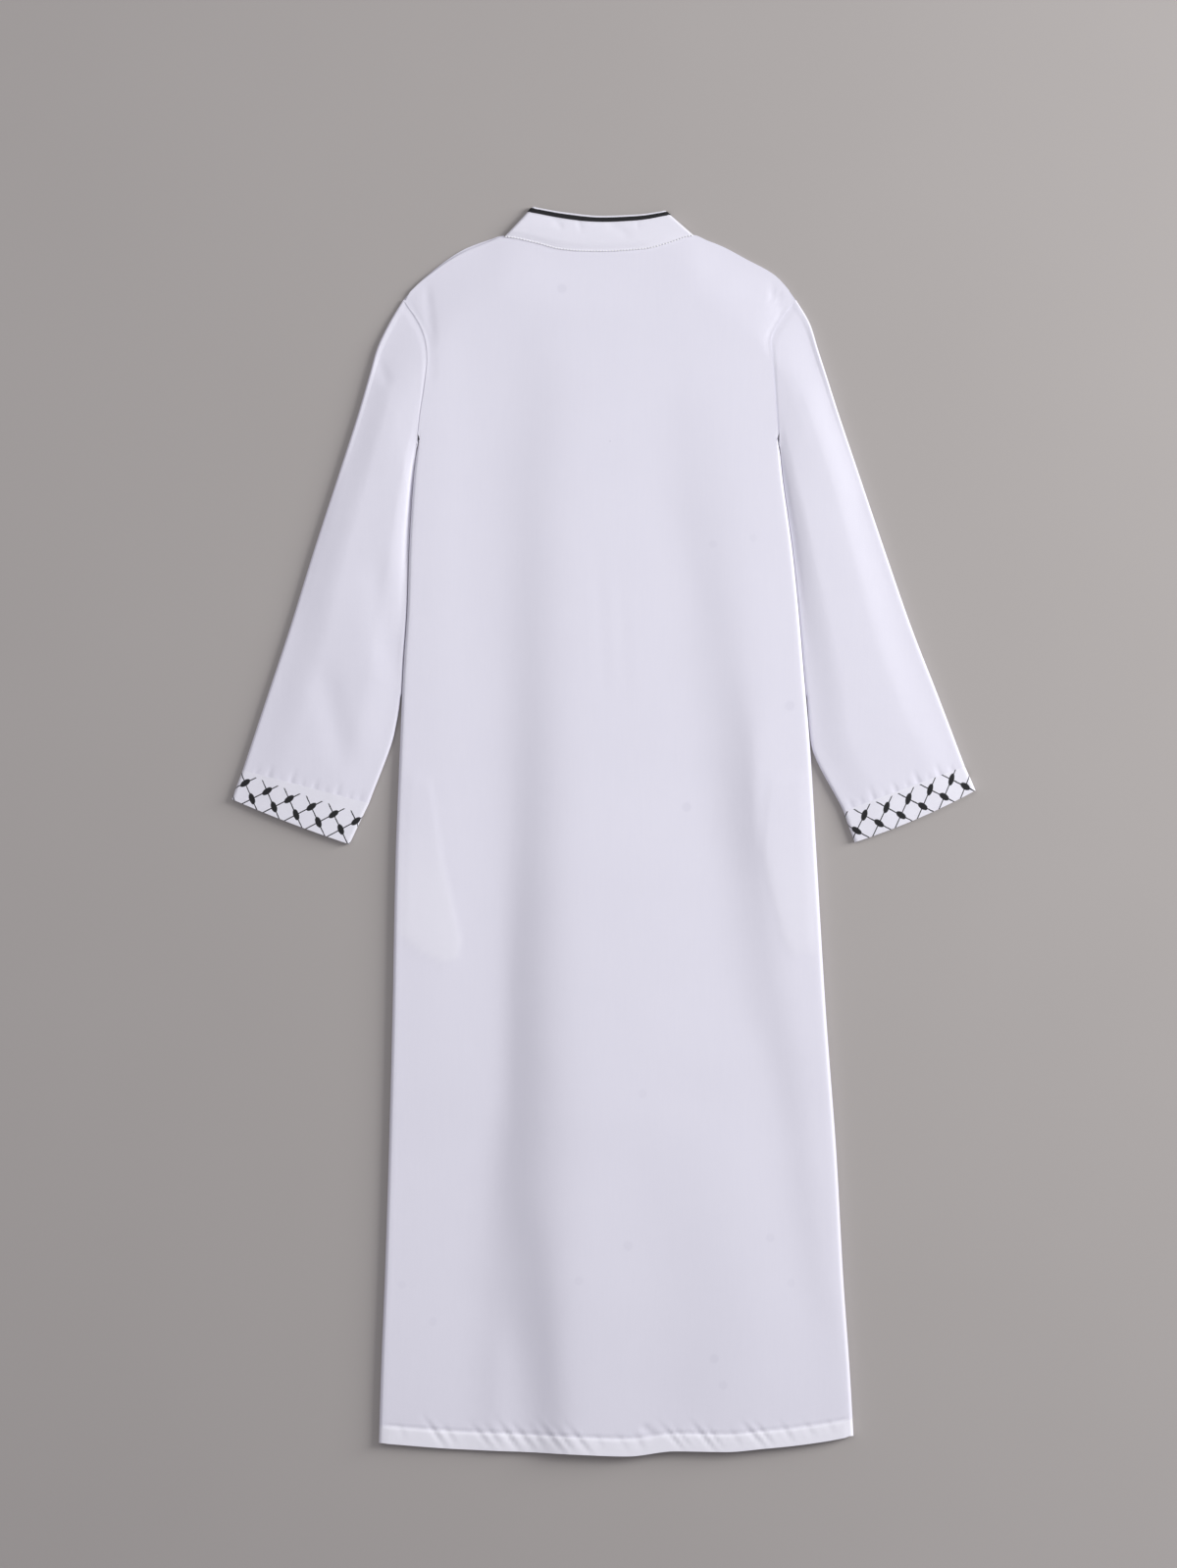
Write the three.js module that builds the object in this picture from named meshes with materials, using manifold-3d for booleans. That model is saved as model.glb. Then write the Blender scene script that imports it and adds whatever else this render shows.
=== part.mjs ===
// A thobe: an ankle-length white robe with long sleeves, a stand collar and patterned cuff bands.
// It lies flat on its front, back up. Millimetres: +X across, +Y towards the collar, +Z up.
// Every cloth piece is a thin closed wall on the form the cloth takes lying down.
import * as THREE from 'three';
import Module from 'manifold-3d';

const wasm = await Module();
wasm.setup();
const { CrossSection } = wasm;

// ---- cloth sizes ----
const CLOTH = 1.2;            // wall of a single panel
const HEM_WALL = 2.4;         // wall where the hem is turned up
const HEM_DEEP = 21;          // height of the turned-up hem
const BAND_WALL = 1.6;        // collar and cuff bands, cloth doubled
const SEAM = 0.4;             // clear gap between two sewn pieces
const SIDE_CLEAR = 1.3;       // clear gap between the body's side and the sleeve beside it
const NECK_CLEAR = 1.1;       // clear gap between the curved neck edges and the collar
const SIDE_NOSE = 3.4;        // radius of the rolled left side and of the armhole's foot
const TUCK = 34;              // how far the back panel runs under to the side seam
const SHOULDER_HIGH = 3.3;    // top of the back panel at the shoulder seam
const NECK_HIGH = 5.4;        // top of the back panel at the neck seam
const SHOULDER_RISE = 75;     // distance over which the body rises from the shoulder seam
const NECK_RISE_FROM = 152;   // distance from the middle where the seam starts rising to the neck
const NECK_RISE = 70;         // and the distance it takes
const NECK_MIDDLE = -5;
const SLEEVE_RISE = 48;       // distance over which a sleeve rises from its folded sides
const ARMPIT_Y = 447;         // where the armhole seam turns under
const SHOULDER_Y = 618;       // shoulder point
const NECK_LEFT = { x: -116.0, y: 691.8 };
const NECK_RIGHT = { x: 105.2, y: 693.4 };
const FRONT_NECK_Y = 693;     // height of the neck points on the front
const FRONT_NECK_DROP = 76;   // how far the front neck dips below the neck points
const FRONT_HEM_Y = -710;
const COLLAR_DEEP = 42;       // height of the collar band
const COLLAR_FRONT_DIP = 0.82; // dip of the collar's top edge in front, as a share of the neck's
const TRIM_WIDE = 5.2;
const TRIM_THICK = 0.9;
const TRIM_CLEAR = 0.4;       // clear gap between the trim and the collar under it
const TRIM_INSET = 2.0;       // white edge left above the trim
const SLIT_X = -5;            // middle of the front slit
const SLIT_WIDE = 30;
const SLIT_LONG = 330;
const UNDER_LEFT = 20;        // reach of the placket's under strip to each side of the slit's middle
const UNDER_RIGHT = 17;
const UNDER_FOOT = 12;        // and how far it runs past the slit's foot
const PLACKET_CLEAR = 1.5;    // clear gap between the placket and the neck

// Outline of the body from above, one row per height. Above the armpit this is the armhole seam.
const BODY = [
  { y: -713, left: -261.6, right: 291.0 },
  { y: -636, left: -259.4, right: 286.7 },
  { y: -522, left: -254.8, right: 278.7 },
  { y: -379, left: -250.2, right: 270.8 },
  { y: -208, left: -245.7, right: 258.2 },
  { y: -37, left: -242.3, right: 248.0 },
  { y: 98, left: -237.1, right: 240.0 },
  { y: 191, left: -233.1, right: 232.2 },
  { y: 259, left: -228.6, right: 226.5 },
  { y: 329, left: -226.3, right: 219.2 },
  { y: 371, left: -224.0, right: 213.5 },
  { y: 410, left: -221.2, right: 208.2 },
  { y: 451, left: -217.0, right: 204.3 },
  { y: 482, left: -213.8, right: 201.5 },
  { y: 525, left: -207.4, right: 197.8 },
  { y: 551, left: -205.2, right: 195.6 },
  { y: 571, left: -207.4, right: 194.1 },
  { y: 586, left: -212.5, right: 200.3 },
  { y: 603, left: -222.5, right: 211.0 },
  { y: SHOULDER_Y, left: -233.6, right: 224.0 },
];

// Top edge of the back panel, left shoulder, neck and right shoulder.
const TOP_EDGE = [
  { x: -233.6, y: 618 },
  { x: -225.2, y: 627.6 },
  { x: -210.3, y: 641.3 },
  { x: -163.6, y: 673.2 },
  { x: -146.5, y: 680.5 },
  { x: -131.7, y: 686.2 },
  NECK_LEFT,
  { x: -77, y: 684.6 },
  { x: -51.9, y: 678.1 },
  { x: -26.8, y: 675.6 },
  { x: -2.3, y: 675.2 },
  { x: 47.3, y: 678.1 },
  { x: 71.8, y: 683.8 },
  NECK_RIGHT,
  { x: 119.1, y: 687.6 },
  { x: 137.4, y: 680.5 },
  { x: 165.5, y: 665.5 },
  { x: 198.2, y: 647.5 },
  { x: 211.5, y: 634.4 },
  { x: 224, y: 618 },
];
const TOP_LAST = TOP_EDGE.length - 1;

// Lower edge of the hem.
const HEM_EDGE = [
  { x: -261.6, y: -711.5 },
  { x: -169.3, y: -718.8 },
  { x: -37, y: -723.8 },
  { x: 27.9, y: -726.2 },
  { x: 82.7, y: -720.4 },
  { x: 141.9, y: -721.2 },
  { x: 187.5, y: -717.4 },
  { x: 213.8, y: -715 },
  { x: 255.9, y: -709.6 },
  { x: 291, y: -703.2 },
];
const HEM_LAST = HEM_EDGE.length - 1;

// Radius of the rolled side along the body.
const ROLL = [
  { y: -727, left: 4.4, right: 4.6 },
  { y: -600, left: 4.4, right: 5 },
  { y: -400, left: 4.4, right: 5.2 },
  { y: 0, left: 4.4, right: 5.2 },
  { y: 200, left: 4.2, right: 4.8 },
  { y: 400, left: 3.7, right: 3.9 },
  { y: 571, left: SIDE_NOSE, right: SIDE_NOSE },
];

// Long soft folds of the back panel, each a rise across it: where its steepest line runs, how far the
// rise reaches to the left and the right of it, and how steep it is there. Minus falls to the right.
const LONG_FOLD = [
  { y: -730, x: -60, lead: 30, trail: 22, slope: 0.200 },
  { y: -630, x: -67, lead: 34, trail: 23, slope: 0.240 },
  { y: -516, x: -80, lead: 52, trail: 32, slope: 0.265 },
  { y: -402, x: -100, lead: 30, trail: 48, slope: 0.280 },
  { y: -288, x: -97, lead: 20, trail: 44, slope: 0.280 },
  { y: -174, x: -97, lead: 19, trail: 43, slope: 0.260 },
  { y: -60, x: -90, lead: 24, trail: 37, slope: 0.230 },
  { y: 54, x: -86, lead: 27, trail: 36, slope: 0.180 },
  { y: 168, x: -86, lead: 30, trail: 34, slope: 0.150 },
  { y: 282, x: -86, lead: 30, trail: 34, slope: 0.120 },
  { y: 396, x: -86, lead: 34, trail: 34, slope: 0.095 },
  { y: 510, x: -75, lead: 38, trail: 30, slope: 0.065 },
  { y: 567, x: -75, lead: 34, trail: 26, slope: 0.030 },
  { y: 630, x: -75, lead: 30, trail: 26, slope: 0.000 },
];
const SIDE_FOLD = [
  { y: -730, x: 262, lead: 20, trail: 14, slope: 0.000 },
  { y: -600, x: 262, lead: 22, trail: 16, slope: 0.030 },
  { y: -516, x: 245, lead: 23, trail: 17, slope: 0.070 },
  { y: -402, x: 230, lead: 23, trail: 18, slope: 0.090 },
  { y: -288, x: 213, lead: 21, trail: 21, slope: 0.100 },
  { y: -174, x: 188, lead: 34, trail: 23, slope: 0.110 },
  { y: -60, x: 176, lead: 34, trail: 18, slope: 0.155 },
  { y: 10, x: 169, lead: 38, trail: 12, slope: 0.200 },
  { y: 54, x: 167, lead: 40, trail: 11, slope: 0.205 },
  { y: 110, x: 163, lead: 40, trail: 14, slope: 0.170 },
  { y: 168, x: 148, lead: 40, trail: 25, slope: 0.125 },
  { y: 282, x: 125, lead: 29, trail: 34, slope: 0.095 },
  { y: 396, x: 102, lead: 29, trail: 50, slope: 0.070 },
  { y: 510, x: 97, lead: 30, trail: 40, slope: 0.025 },
  { y: 600, x: 97, lead: 30, trail: 40, slope: 0.000 },
];
const LOW_FOLD = [
  { y: -730, x: 120, lead: 60, trail: 60, slope: 0.030 },
  { y: -630, x: 116, lead: 60, trail: 60, slope: 0.050 },
  { y: -516, x: 112, lead: 60, trail: 60, slope: 0.050 },
  { y: -402, x: 100, lead: 60, trail: 60, slope: 0.035 },
  { y: -330, x: 90, lead: 60, trail: 60, slope: 0.000 },
];
const HEM_FOLD = [
  { y: -730, x: -134, lead: 24, trail: 12, slope: 0.070 },
  { y: -630, x: -132, lead: 24, trail: 12, slope: 0.090 },
  { y: -560, x: -130, lead: 24, trail: 12, slope: 0.040 },
  { y: -500, x: -130, lead: 24, trail: 12, slope: 0.000 },
];
const LEFT_FALL = [
  { y: -300, x: -172, lead: 24, trail: 24, slope: 0.000 },
  { y: -100, x: -172, lead: 24, trail: 24, slope: -0.022 },
  { y: 100, x: -174, lead: 24, trail: 24, slope: -0.022 },
  { y: 400, x: -176, lead: 24, trail: 24, slope: -0.034 },
  { y: 560, x: -176, lead: 24, trail: 24, slope: -0.024 },
  { y: 620, x: -176, lead: 24, trail: 24, slope: 0.000 },
];
const RISES = [LONG_FOLD, SIDE_FOLD, LOW_FOLD, HEM_FOLD, LEFT_FALL];
const SWELL = 1.129;          // the two numbers of a rise's soft S shape, and its share of a straight slope
const SWELL_CURVE = 0.1;
const SWELL_SHARE = 0.886;

// Sleeves, one row per section from the armhole to the cuff seam: the outer end of the section, the
// inner end (x is given where the sleeve is clear of the body), its nose radius, height, and how far
// it still bows with the armhole. `skew` is how far its slant to the seam draws the inner nose out.
const SLEEVE_LEFT = [
  { outX: -233.6, outY: 618, inY: 447, nose: 1.7, high: 9.0, bow: 1.0, skew: 3.6 },
  { outX: -250.2, outY: 590, inY: 430, nose: 2.3, high: 9.5, bow: 0.72, skew: 4.4 },
  { outX: -263.9, outY: 561, inY: 402, nose: 2.8, high: 10.0, bow: 0.5, skew: 3.2 },
  { outX: -271.9, outY: 533, inY: 373, nose: 3.1, high: 10.4, bow: 0.34, skew: 2.0 },
  { outX: -284.4, outY: 490, inY: 341, nose: 3.2, high: 10.4, bow: 0.2 },
  { outX: -307.2, outY: 419, inY: 282, nose: 3.2, high: 10.2, bow: 0.08 },
  { outX: -336.9, outY: 328, inY: 219, nose: 3.2, high: 10.0, bow: 0 },
  { outX: -365.4, outY: 236, inY: 160, nose: 3.2, high: 9.7, bow: 0 },
  { outX: -391.6, outY: 157, inX: -243.4, inY: 114, nose: 3.2, high: 9.4, bow: 0 },
  { outX: -420.1, outY: 71.3, inX: -273.0, inY: 32.5, nose: 3.4, high: 8.4, bow: 0 },
];
const SLEEVE_RIGHT = [
  { outX: 224.0, outY: 618, inY: 447, nose: 1.7, high: 9.0, bow: 1.0, skew: 5.2 },
  { outX: 240.0, outY: 590, inY: 430, nose: 2.3, high: 9.5, bow: 0.72, skew: 5.6 },
  { outX: 249.1, outY: 561, inY: 402, nose: 2.8, high: 10.0, bow: 0.5, skew: 3.8 },
  { outX: 258.2, outY: 533, inY: 373, nose: 3.1, high: 10.4, bow: 0.34, skew: 2.0 },
  { outX: 271.9, outY: 490, inY: 341, nose: 3.2, high: 10.4, bow: 0.2 },
  { outX: 295.8, outY: 419, inY: 282, nose: 3.2, high: 10.2, bow: 0.08 },
  { outX: 326.6, outY: 328, inY: 219, nose: 3.2, high: 10.0, bow: 0 },
  { outX: 358.5, outY: 236, inY: 160, nose: 3.2, high: 9.7, bow: 0 },
  { outX: 389.3, outY: 157, inY: 103, nose: 3.2, high: 9.4, bow: 0 },
  { outX: 420.1, outY: 75.8, inX: 278.7, inY: 23.4, nose: 3.4, high: 8.4, bow: 0 },
];
const SLEEVE_LAST = SLEEVE_LEFT.length - 1;

// Cuff bands, from the sleeve seam to the opening; `sag` is how far the edge bows out between its ends.
const CUFF_LEFT = [
  { outX: -420.1, outY: 71.3, inX: -273.0, inY: 32.5, nose: 3.4, high: 8.4, sag: 0 },
  { outX: -426.5, outY: 54.0, inX: -284.5, inY: 8.5, nose: 3.4, high: 8.3, sag: 0.6 },
  { outX: -432.6, outY: 37.1, inX: -295.8, inY: -15.4, nose: 3.3, high: 7.9, sag: 1.5 },
];
const CUFF_RIGHT = [
  { outX: 420.1, outY: 75.8, inX: 278.7, inY: 23.4, nose: 3.4, high: 8.4, sag: 0 },
  { outX: 426.6, outY: 61.2, inX: 285.2, inY: 5.2, nose: 3.4, high: 8.3, sag: 1.4 },
  { outX: 432.6, outY: 47.3, inX: 291.9, inY: -13.1, nose: 3.3, high: 7.9, sag: 3.5 },
];

// Stand collar, back half: lower edge follows the neck seam, upper edge is its free edge.
const COLLAR_BACK_TOP = [
  { x: -83.0, y: 726.2 },
  { x: -45.0, y: 719.6 },
  { x: -2.3, y: 715.6 },
  { x: 40.0, y: 717.2 },
  { x: 72.2, y: 721.5 },
];
const COLLAR_LAST = COLLAR_BACK_TOP.length - 1;
const COLLAR_LIFT = 1.5;      // height of the collar's front half over the ground
const COLLAR_NOSE = 2.3;      // radius of the fold at each end
const COLLAR_NOSE_WIDE = 4.2; // the same measured across, as the fold slants

// Pocket bags inside the body, corner by corner.
const BAG_LEFT = [
  [-234, -118],
  [-212, -142],
  [-186, -152],
  [-170, -149],
  [-166, -128],
  [-186, -40],
  [-203, 62],
  [-234, 70],
];
const BAG_RIGHT = [
  [192, 62],
  [184, -26],
  [196, -80],
  [210, -132],
  [222, -144],
  [236, -140],
  [236, 70],
];
const BAG_LOW = 1.5;
const BAG_THICK = 1.6;

// ---- colours ----
const WHITE_CLOTH = 0xe4e2ee;
const BAND_WHITE = 0xeeedf2;
const TRIM_BLACK = 0x17171a;
const POCKET_WHITE = 0xdddbe6;
const CLOTH_ROUGH = 0.62;
const BAND_ROUGH = 0.7;
const POCKET_ROUGH = 0.75;
const RIBBON_ROUGH = 0.6;

// ---- reading a table ----
function smooth(t) {
  const c = Math.min(1, Math.max(0, t));
  return c * c * (3 - 2 * c);
}

function lerp(a, b, t) {
  return a + (b - a) * t;
}

// Value of one column at a place in another, with a monotone curve through the rows.
function read(table, by, column, at) {
  const rising = table[table.length - 1][by] >= table[0][by];
  const rows = rising ? table : [...table].reverse();
  const last = rows.length - 1;
  if (at <= rows[0][by]) {
    return rows[0][column];
  }
  if (at >= rows[last][by]) {
    return rows[last][column];
  }
  let i = 0;
  while (rows[i + 1][by] < at) {
    i += 1;
  }
  const slope = (k) => (rows[k + 1][column] - rows[k][column]) / (rows[k + 1][by] - rows[k][by]);
  const tangent = (k) => {
    if (k === 0) {
      return slope(0);
    }
    if (k === last) {
      return slope(last - 1);
    }
    const a = slope(k - 1);
    const b = slope(k);
    return a * b <= 0 ? 0 : (2 * a * b) / (a + b);
  };
  const step = rows[i + 1][by] - rows[i][by];
  const t = (at - rows[i][by]) / step;
  const t2 = t * t;
  const t3 = t2 * t;
  return (2 * t3 - 3 * t2 + 1) * rows[i][column] + (t3 - 2 * t2 + t) * step * tangent(i)
    + (3 * t2 - 2 * t3) * rows[i + 1][column] + (t3 - t2) * step * tangent(i + 1);
}

function bodyLeft(y) {
  return read(BODY, 'y', 'left', y);
}

function bodyRight(y) {
  return read(BODY, 'y', 'right', y);
}

// ---- heights ----
// How far the long folds have lifted the cloth by a place, counted from the left side.
function riseTo(x, y) {
  let total = 0;
  for (const fold of RISES) {
    const off = x - read(fold, 'y', 'x', y);
    const lead = read(fold, 'y', 'lead', y);
    const reach = off < 0 ? lead : read(fold, 'y', 'trail', y);
    const t = off / reach;
    const swell = Math.tanh(t * (SWELL + SWELL_CURVE * t * t)) * reach;
    total += SWELL_SHARE * read(fold, 'y', 'slope', y) * (lead + swell);
  }
  return total;
}

// Height of the shoulder and neck seam along the top edge, by x.
function seamHigh(x) {
  const near = smooth((NECK_RISE_FROM - Math.abs(x - NECK_MIDDLE)) / NECK_RISE);
  return lerp(SHOULDER_HIGH, NECK_HIGH, near);
}

// Top face of the back panel at a place, below its top edge at topY.
function bodyHigh(x, y, topX, topY) {
  const left = bodyLeft(y);
  const right = bodyRight(y);
  const low = 2 * read(ROLL, 'y', 'left', y);
  const drop = 2 * read(ROLL, 'y', 'right', y) - riseTo(right, y) - low;
  const across = Math.min(1, Math.max(0, (x - left) / (right - left)));
  const spread = low + drop * across + riseTo(x, y);
  return lerp(seamHigh(topX), spread, smooth((topY - y) / SHOULDER_RISE));
}

// ---- closed cloth from a grid of points ----
// Rows run along the piece and columns across it. The grid is the outer face; the wall goes inwards.
function outwards(grid, i, j, ring) {
  const rows = grid.length;
  const cols = grid[0].length;
  const left = grid[i][ring ? (j + cols - 1) % cols : Math.max(0, j - 1)];
  const right = grid[i][ring ? (j + 1) % cols : Math.min(cols - 1, j + 1)];
  const low = grid[Math.max(0, i - 1)][j];
  const high = grid[Math.min(rows - 1, i + 1)][j];
  return right.clone().sub(left).cross(high.clone().sub(low)).normalize();
}

function movedOut(grid, by) {
  return grid.map((row, i) => row.map((p, j) => p.clone().addScaledVector(outwards(grid, i, j, false), by)));
}

function clothShell(grid, wallAt, ring) {
  const rows = grid.length;
  const cols = grid[0].length;
  const pos = [];
  const inner = [];
  for (let i = 0; i < rows; i += 1) {
    for (let j = 0; j < cols; j += 1) {
      const p = grid[i][j];
      pos.push(p.x, p.y, p.z);
      const q = p.clone().addScaledVector(outwards(grid, i, j, ring), -wallAt(i, j));
      inner.push(q.x, q.y, q.z);
    }
  }
  const base = rows * cols;
  const index = [];
  const at = (i, j) => i * cols + (j % cols);
  const quad = (a, b, c, d) => {
    index.push(a, b, c, a, c, d);
  };
  const spans = ring ? cols : cols - 1;
  for (let i = 0; i < rows - 1; i += 1) {
    for (let j = 0; j < spans; j += 1) {
      const a = at(i, j);
      const b = at(i, j + 1);
      const c = at(i + 1, j + 1);
      const d = at(i + 1, j);
      quad(a, b, c, d);
      quad(base + a, base + d, base + c, base + b);
    }
  }
  for (let j = 0; j < spans; j += 1) {
    const a = at(0, j);
    const b = at(0, j + 1);
    quad(b, a, base + a, base + b);
    const c = at(rows - 1, j);
    const d = at(rows - 1, j + 1);
    quad(c, d, base + d, base + c);
  }
  if (!ring) {
    for (let i = 0; i < rows - 1; i += 1) {
      const a = at(i, 0);
      const b = at(i + 1, 0);
      quad(a, b, base + b, base + a);
      const c = at(i, cols - 1);
      const d = at(i + 1, cols - 1);
      quad(d, c, base + c, base + d);
    }
  }
  const geometry = new THREE.BufferGeometry();
  geometry.setAttribute('position', new THREE.Float32BufferAttribute([...pos, ...inner], 3));
  geometry.setIndex(index);
  geometry.computeVertexNormals();
  return geometry;
}

function fromManifold(solid) {
  const mesh = solid.getMesh();
  const pos = [];
  for (let i = 0; i < mesh.vertProperties.length; i += mesh.numProp) {
    pos.push(mesh.vertProperties[i], mesh.vertProperties[i + 1], mesh.vertProperties[i + 2]);
  }
  const geometry = new THREE.BufferGeometry();
  geometry.setAttribute('position', new THREE.Float32BufferAttribute(pos, 3));
  geometry.setIndex([...mesh.triVerts]);
  geometry.computeVertexNormals();
  return geometry;
}

const robe = new THREE.Group();
robe.name = 'thobe_robe';

function add(name, geometry, colour, roughness) {
  const material = new THREE.MeshStandardMaterial({ color: colour, roughness, metalness: 0 });
  const mesh = new THREE.Mesh(geometry, material);
  mesh.name = name;
  robe.add(mesh);
}

// ---- back panel ----
// Across: under from the side seam, round the rolled side, over the back and down the other side.
const ROLL_TURNS = [-90, -50, -15, 20, 55, 90];
const SHOULDER_SPANS = 7;
const NECK_SPANS = 14;
const FIRST_SPAN = 0.5;       // the span beside a rolled side, as a share of the others
const OPEN_STEP = 1.1;        // spacing of the side columns where the armhole leaves the side open
const UNDER_MIDDLE = 0.55;    // place of the column between the side seam and the roll

function backColumns() {
  const span = TOP_EDGE[TOP_LAST].x - TOP_EDGE[0].x;
  const neckLeft = (NECK_LEFT.x - TOP_EDGE[0].x) / span;
  const neckRight = (NECK_RIGHT.x - TOP_EDGE[0].x) / span;
  const shoulder = [];
  for (let i = 0; i < SHOULDER_SPANS - 1; i += 1) {
    shoulder.push((i + FIRST_SPAN) / (SHOULDER_SPANS - 1 + FIRST_SPAN));
  }
  const list = shoulder.map((s) => neckLeft * s);
  for (let i = 0; i <= NECK_SPANS; i += 1) {
    list.push(lerp(neckLeft, neckRight, i / NECK_SPANS));
  }
  list.push(...shoulder.reverse().map((s) => 1 - (1 - neckRight) * s));
  return list;
}

const HEM_ROWS = [-713, -692];
const BODY_ROWS = [
  -640, -580, -520, -450, -379, -300, -208, -120, -37, 40, 110, 180, 250, 320, 371,
  410, 430, 437, 445, 462, 490, 520, 551, 575, 595, 608, SHOULDER_Y,
];
const BACK_ROWS = [...HEM_ROWS, ...BODY_ROWS];
const OPENING_ROWS = { 437: -90, 445: 10 }; // rows where the rolled side ends part way round

function backPoint(across, row) {
  const topX = lerp(TOP_EDGE[0].x, TOP_EDGE[TOP_LAST].x, across);
  const topY = read(TOP_EDGE, 'x', 'y', topX);
  const hemX = lerp(HEM_EDGE[0].x, HEM_EDGE[HEM_LAST].x, across);
  const hemY = read(HEM_EDGE, 'x', 'y', hemX);
  const up = (row - HEM_ROWS[0]) / (SHOULDER_Y - HEM_ROWS[0]);
  const y = row === HEM_ROWS[1] ? hemY + HEM_DEEP : lerp(hemY, topY, up);
  const x = lerp(bodyLeft(y), bodyRight(y), across);
  return new THREE.Vector3(x, y, bodyHigh(x, y, topX, topY));
}

// Side columns of one row: wrapped round the side below the armpit, open at the armhole above it.
function sideColumns(row, right) {
  const edge = backPoint(right ? 1 : 0, row);
  const side = right ? -1 : 1;
  const roll = read(ROLL, 'y', right ? 'right' : 'left', edge.y);
  const wrapped = [[TUCK, 0], [TUCK * UNDER_MIDDLE, 0]];
  for (const turn of ROLL_TURNS) {
    const a = THREE.MathUtils.degToRad(turn);
    wrapped.push([roll * (1 - Math.cos(a)), roll * (1 + Math.sin(a))]);
  }
  if (row in OPENING_ROWS) {
    for (let i = 0; i < wrapped.length; i += 1) {
      const turn = lerp(OPENING_ROWS[row], ROLL_TURNS[ROLL_TURNS.length - 1], i / (wrapped.length - 1));
      const a = THREE.MathUtils.degToRad(turn);
      wrapped[i] = [roll * (1 - Math.cos(a)), roll * (1 + Math.sin(a))];
    }
  }
  const closed = row < ARMPIT_Y;
  const points = wrapped.map((w, i) => {
    const dx = closed ? w[0] : OPEN_STEP * i;
    const z = closed ? w[1] : bodyHigh(edge.x + side * dx, edge.y, edge.x, TOP_EDGE[0].y);
    return new THREE.Vector3(edge.x + side * dx, edge.y, z);
  });
  return right ? points.reverse() : points;
}

function backGrid() {
  const columns = backColumns();
  return BACK_ROWS.map((row) => {
    const inside = columns.map((c) => backPoint(c, row));
    return [...sideColumns(row, false), ...inside, ...sideColumns(row, true)];
  });
}

const backWall = (i) => (i < HEM_ROWS.length ? HEM_WALL : CLOTH);
add('back_panel', clothShell(backGrid(), backWall, false), WHITE_CLOTH, CLOTH_ROUGH);

// ---- front panel, cut away for the neck and the slit ----
const FRONT_STEPS = 40;
const SHOULDER_STEPS = 20;
const NECK_STEPS = 18;
const PEEK_LEFT = 3.6;        // how far the front's shoulder shows past the back's
const PEEK_RIGHT = 0.6;
const SIDE_SEAM_TOP = ARMPIT_Y - 9;
const ARMHOLE_FOOT = ARMPIT_Y + 4;

function frontNeck(x) {
  const half = (NECK_RIGHT.x - NECK_LEFT.x) / 2;
  const off = (x - (NECK_RIGHT.x + NECK_LEFT.x) / 2) / half;
  return FRONT_NECK_Y - FRONT_NECK_DROP * Math.sqrt(Math.max(0, 1 - off * off));
}

// One side of the front from hem to shoulder: inside the back's turned-under sides, then the armhole.
function frontSide(edge, inwards) {
  const list = [];
  for (let i = 0; i <= FRONT_STEPS; i += 1) {
    const y = lerp(FRONT_HEM_Y, SIDE_SEAM_TOP, i / FRONT_STEPS);
    list.push([edge(y) + inwards * (TUCK + SEAM), y]);
  }
  for (let i = 0; i <= SHOULDER_STEPS; i += 1) {
    const y = lerp(ARMHOLE_FOOT, SHOULDER_Y, i / SHOULDER_STEPS);
    list.push([edge(y) + inwards * SEAM, y]);
  }
  return list;
}

function frontOutline() {
  const list = frontSide(bodyRight, -1);
  const inner = TOP_EDGE.slice(1, TOP_LAST).reverse();
  for (const p of inner.filter((q) => q.x > NECK_RIGHT.x)) {
    list.push([p.x, p.y + PEEK_RIGHT]);
  }
  list.push([NECK_RIGHT.x - SEAM, NECK_RIGHT.y]);
  for (let i = 1; i < NECK_STEPS; i += 1) {
    const x = lerp(NECK_RIGHT.x, NECK_LEFT.x, 0.5 - 0.5 * Math.cos(Math.PI * i / NECK_STEPS));
    list.push([x, frontNeck(x)]);
  }
  list.push([NECK_LEFT.x + SEAM, NECK_LEFT.y]);
  for (const p of inner.filter((q) => q.x < NECK_LEFT.x)) {
    list.push([p.x, p.y + PEEK_LEFT]);
  }
  list.push(...frontSide(bodyLeft, 1).reverse());
  return list;
}

function box2d(x0, x1, y0, y1) {
  return new CrossSection([[[x0, y0], [x1, y0], [x1, y1], [x0, y1]]]);
}

const frontShape = new CrossSection([frontOutline()]);
const slitFoot = FRONT_NECK_Y - FRONT_NECK_DROP - SLIT_LONG;
const slit = box2d(SLIT_X - SLIT_WIDE / 2, SLIT_X + SLIT_WIDE / 2, slitFoot, FRONT_NECK_Y);
const robeWide = HEM_EDGE[HEM_LAST].x - HEM_EDGE[0].x;
const hemStrip = frontShape.intersect(box2d(-robeWide, robeWide, FRONT_HEM_Y, FRONT_HEM_Y + HEM_DEEP));
const front = frontShape.subtract(slit).extrude(CLOTH).add(hemStrip.extrude(HEM_WALL));
add('front_panel', fromManifold(front), WHITE_CLOTH, CLOTH_ROUGH);

// ---- front placket: a strip in the slit and one under it ----
const neckFoot = frontNeck(SLIT_X) - PLACKET_CLEAR;
const slitHalf = SLIT_WIDE / 2 - SEAM;
const over = box2d(SLIT_X - slitHalf, SLIT_X + slitHalf, slitFoot + SEAM, neckFoot);
add('placket_over', fromManifold(over.extrude(CLOTH)), WHITE_CLOTH, CLOTH_ROUGH);
const underTop = neckFoot - PLACKET_CLEAR;
const under = box2d(SLIT_X - UNDER_LEFT, SLIT_X + UNDER_RIGHT, slitFoot - UNDER_FOOT, underTop);
const underStrip = under.extrude(CLOTH).translate([0, 0, CLOTH + SEAM]);
add('placket_under', fromManifold(underStrip), WHITE_CLOTH, CLOTH_ROUGH);

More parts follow.
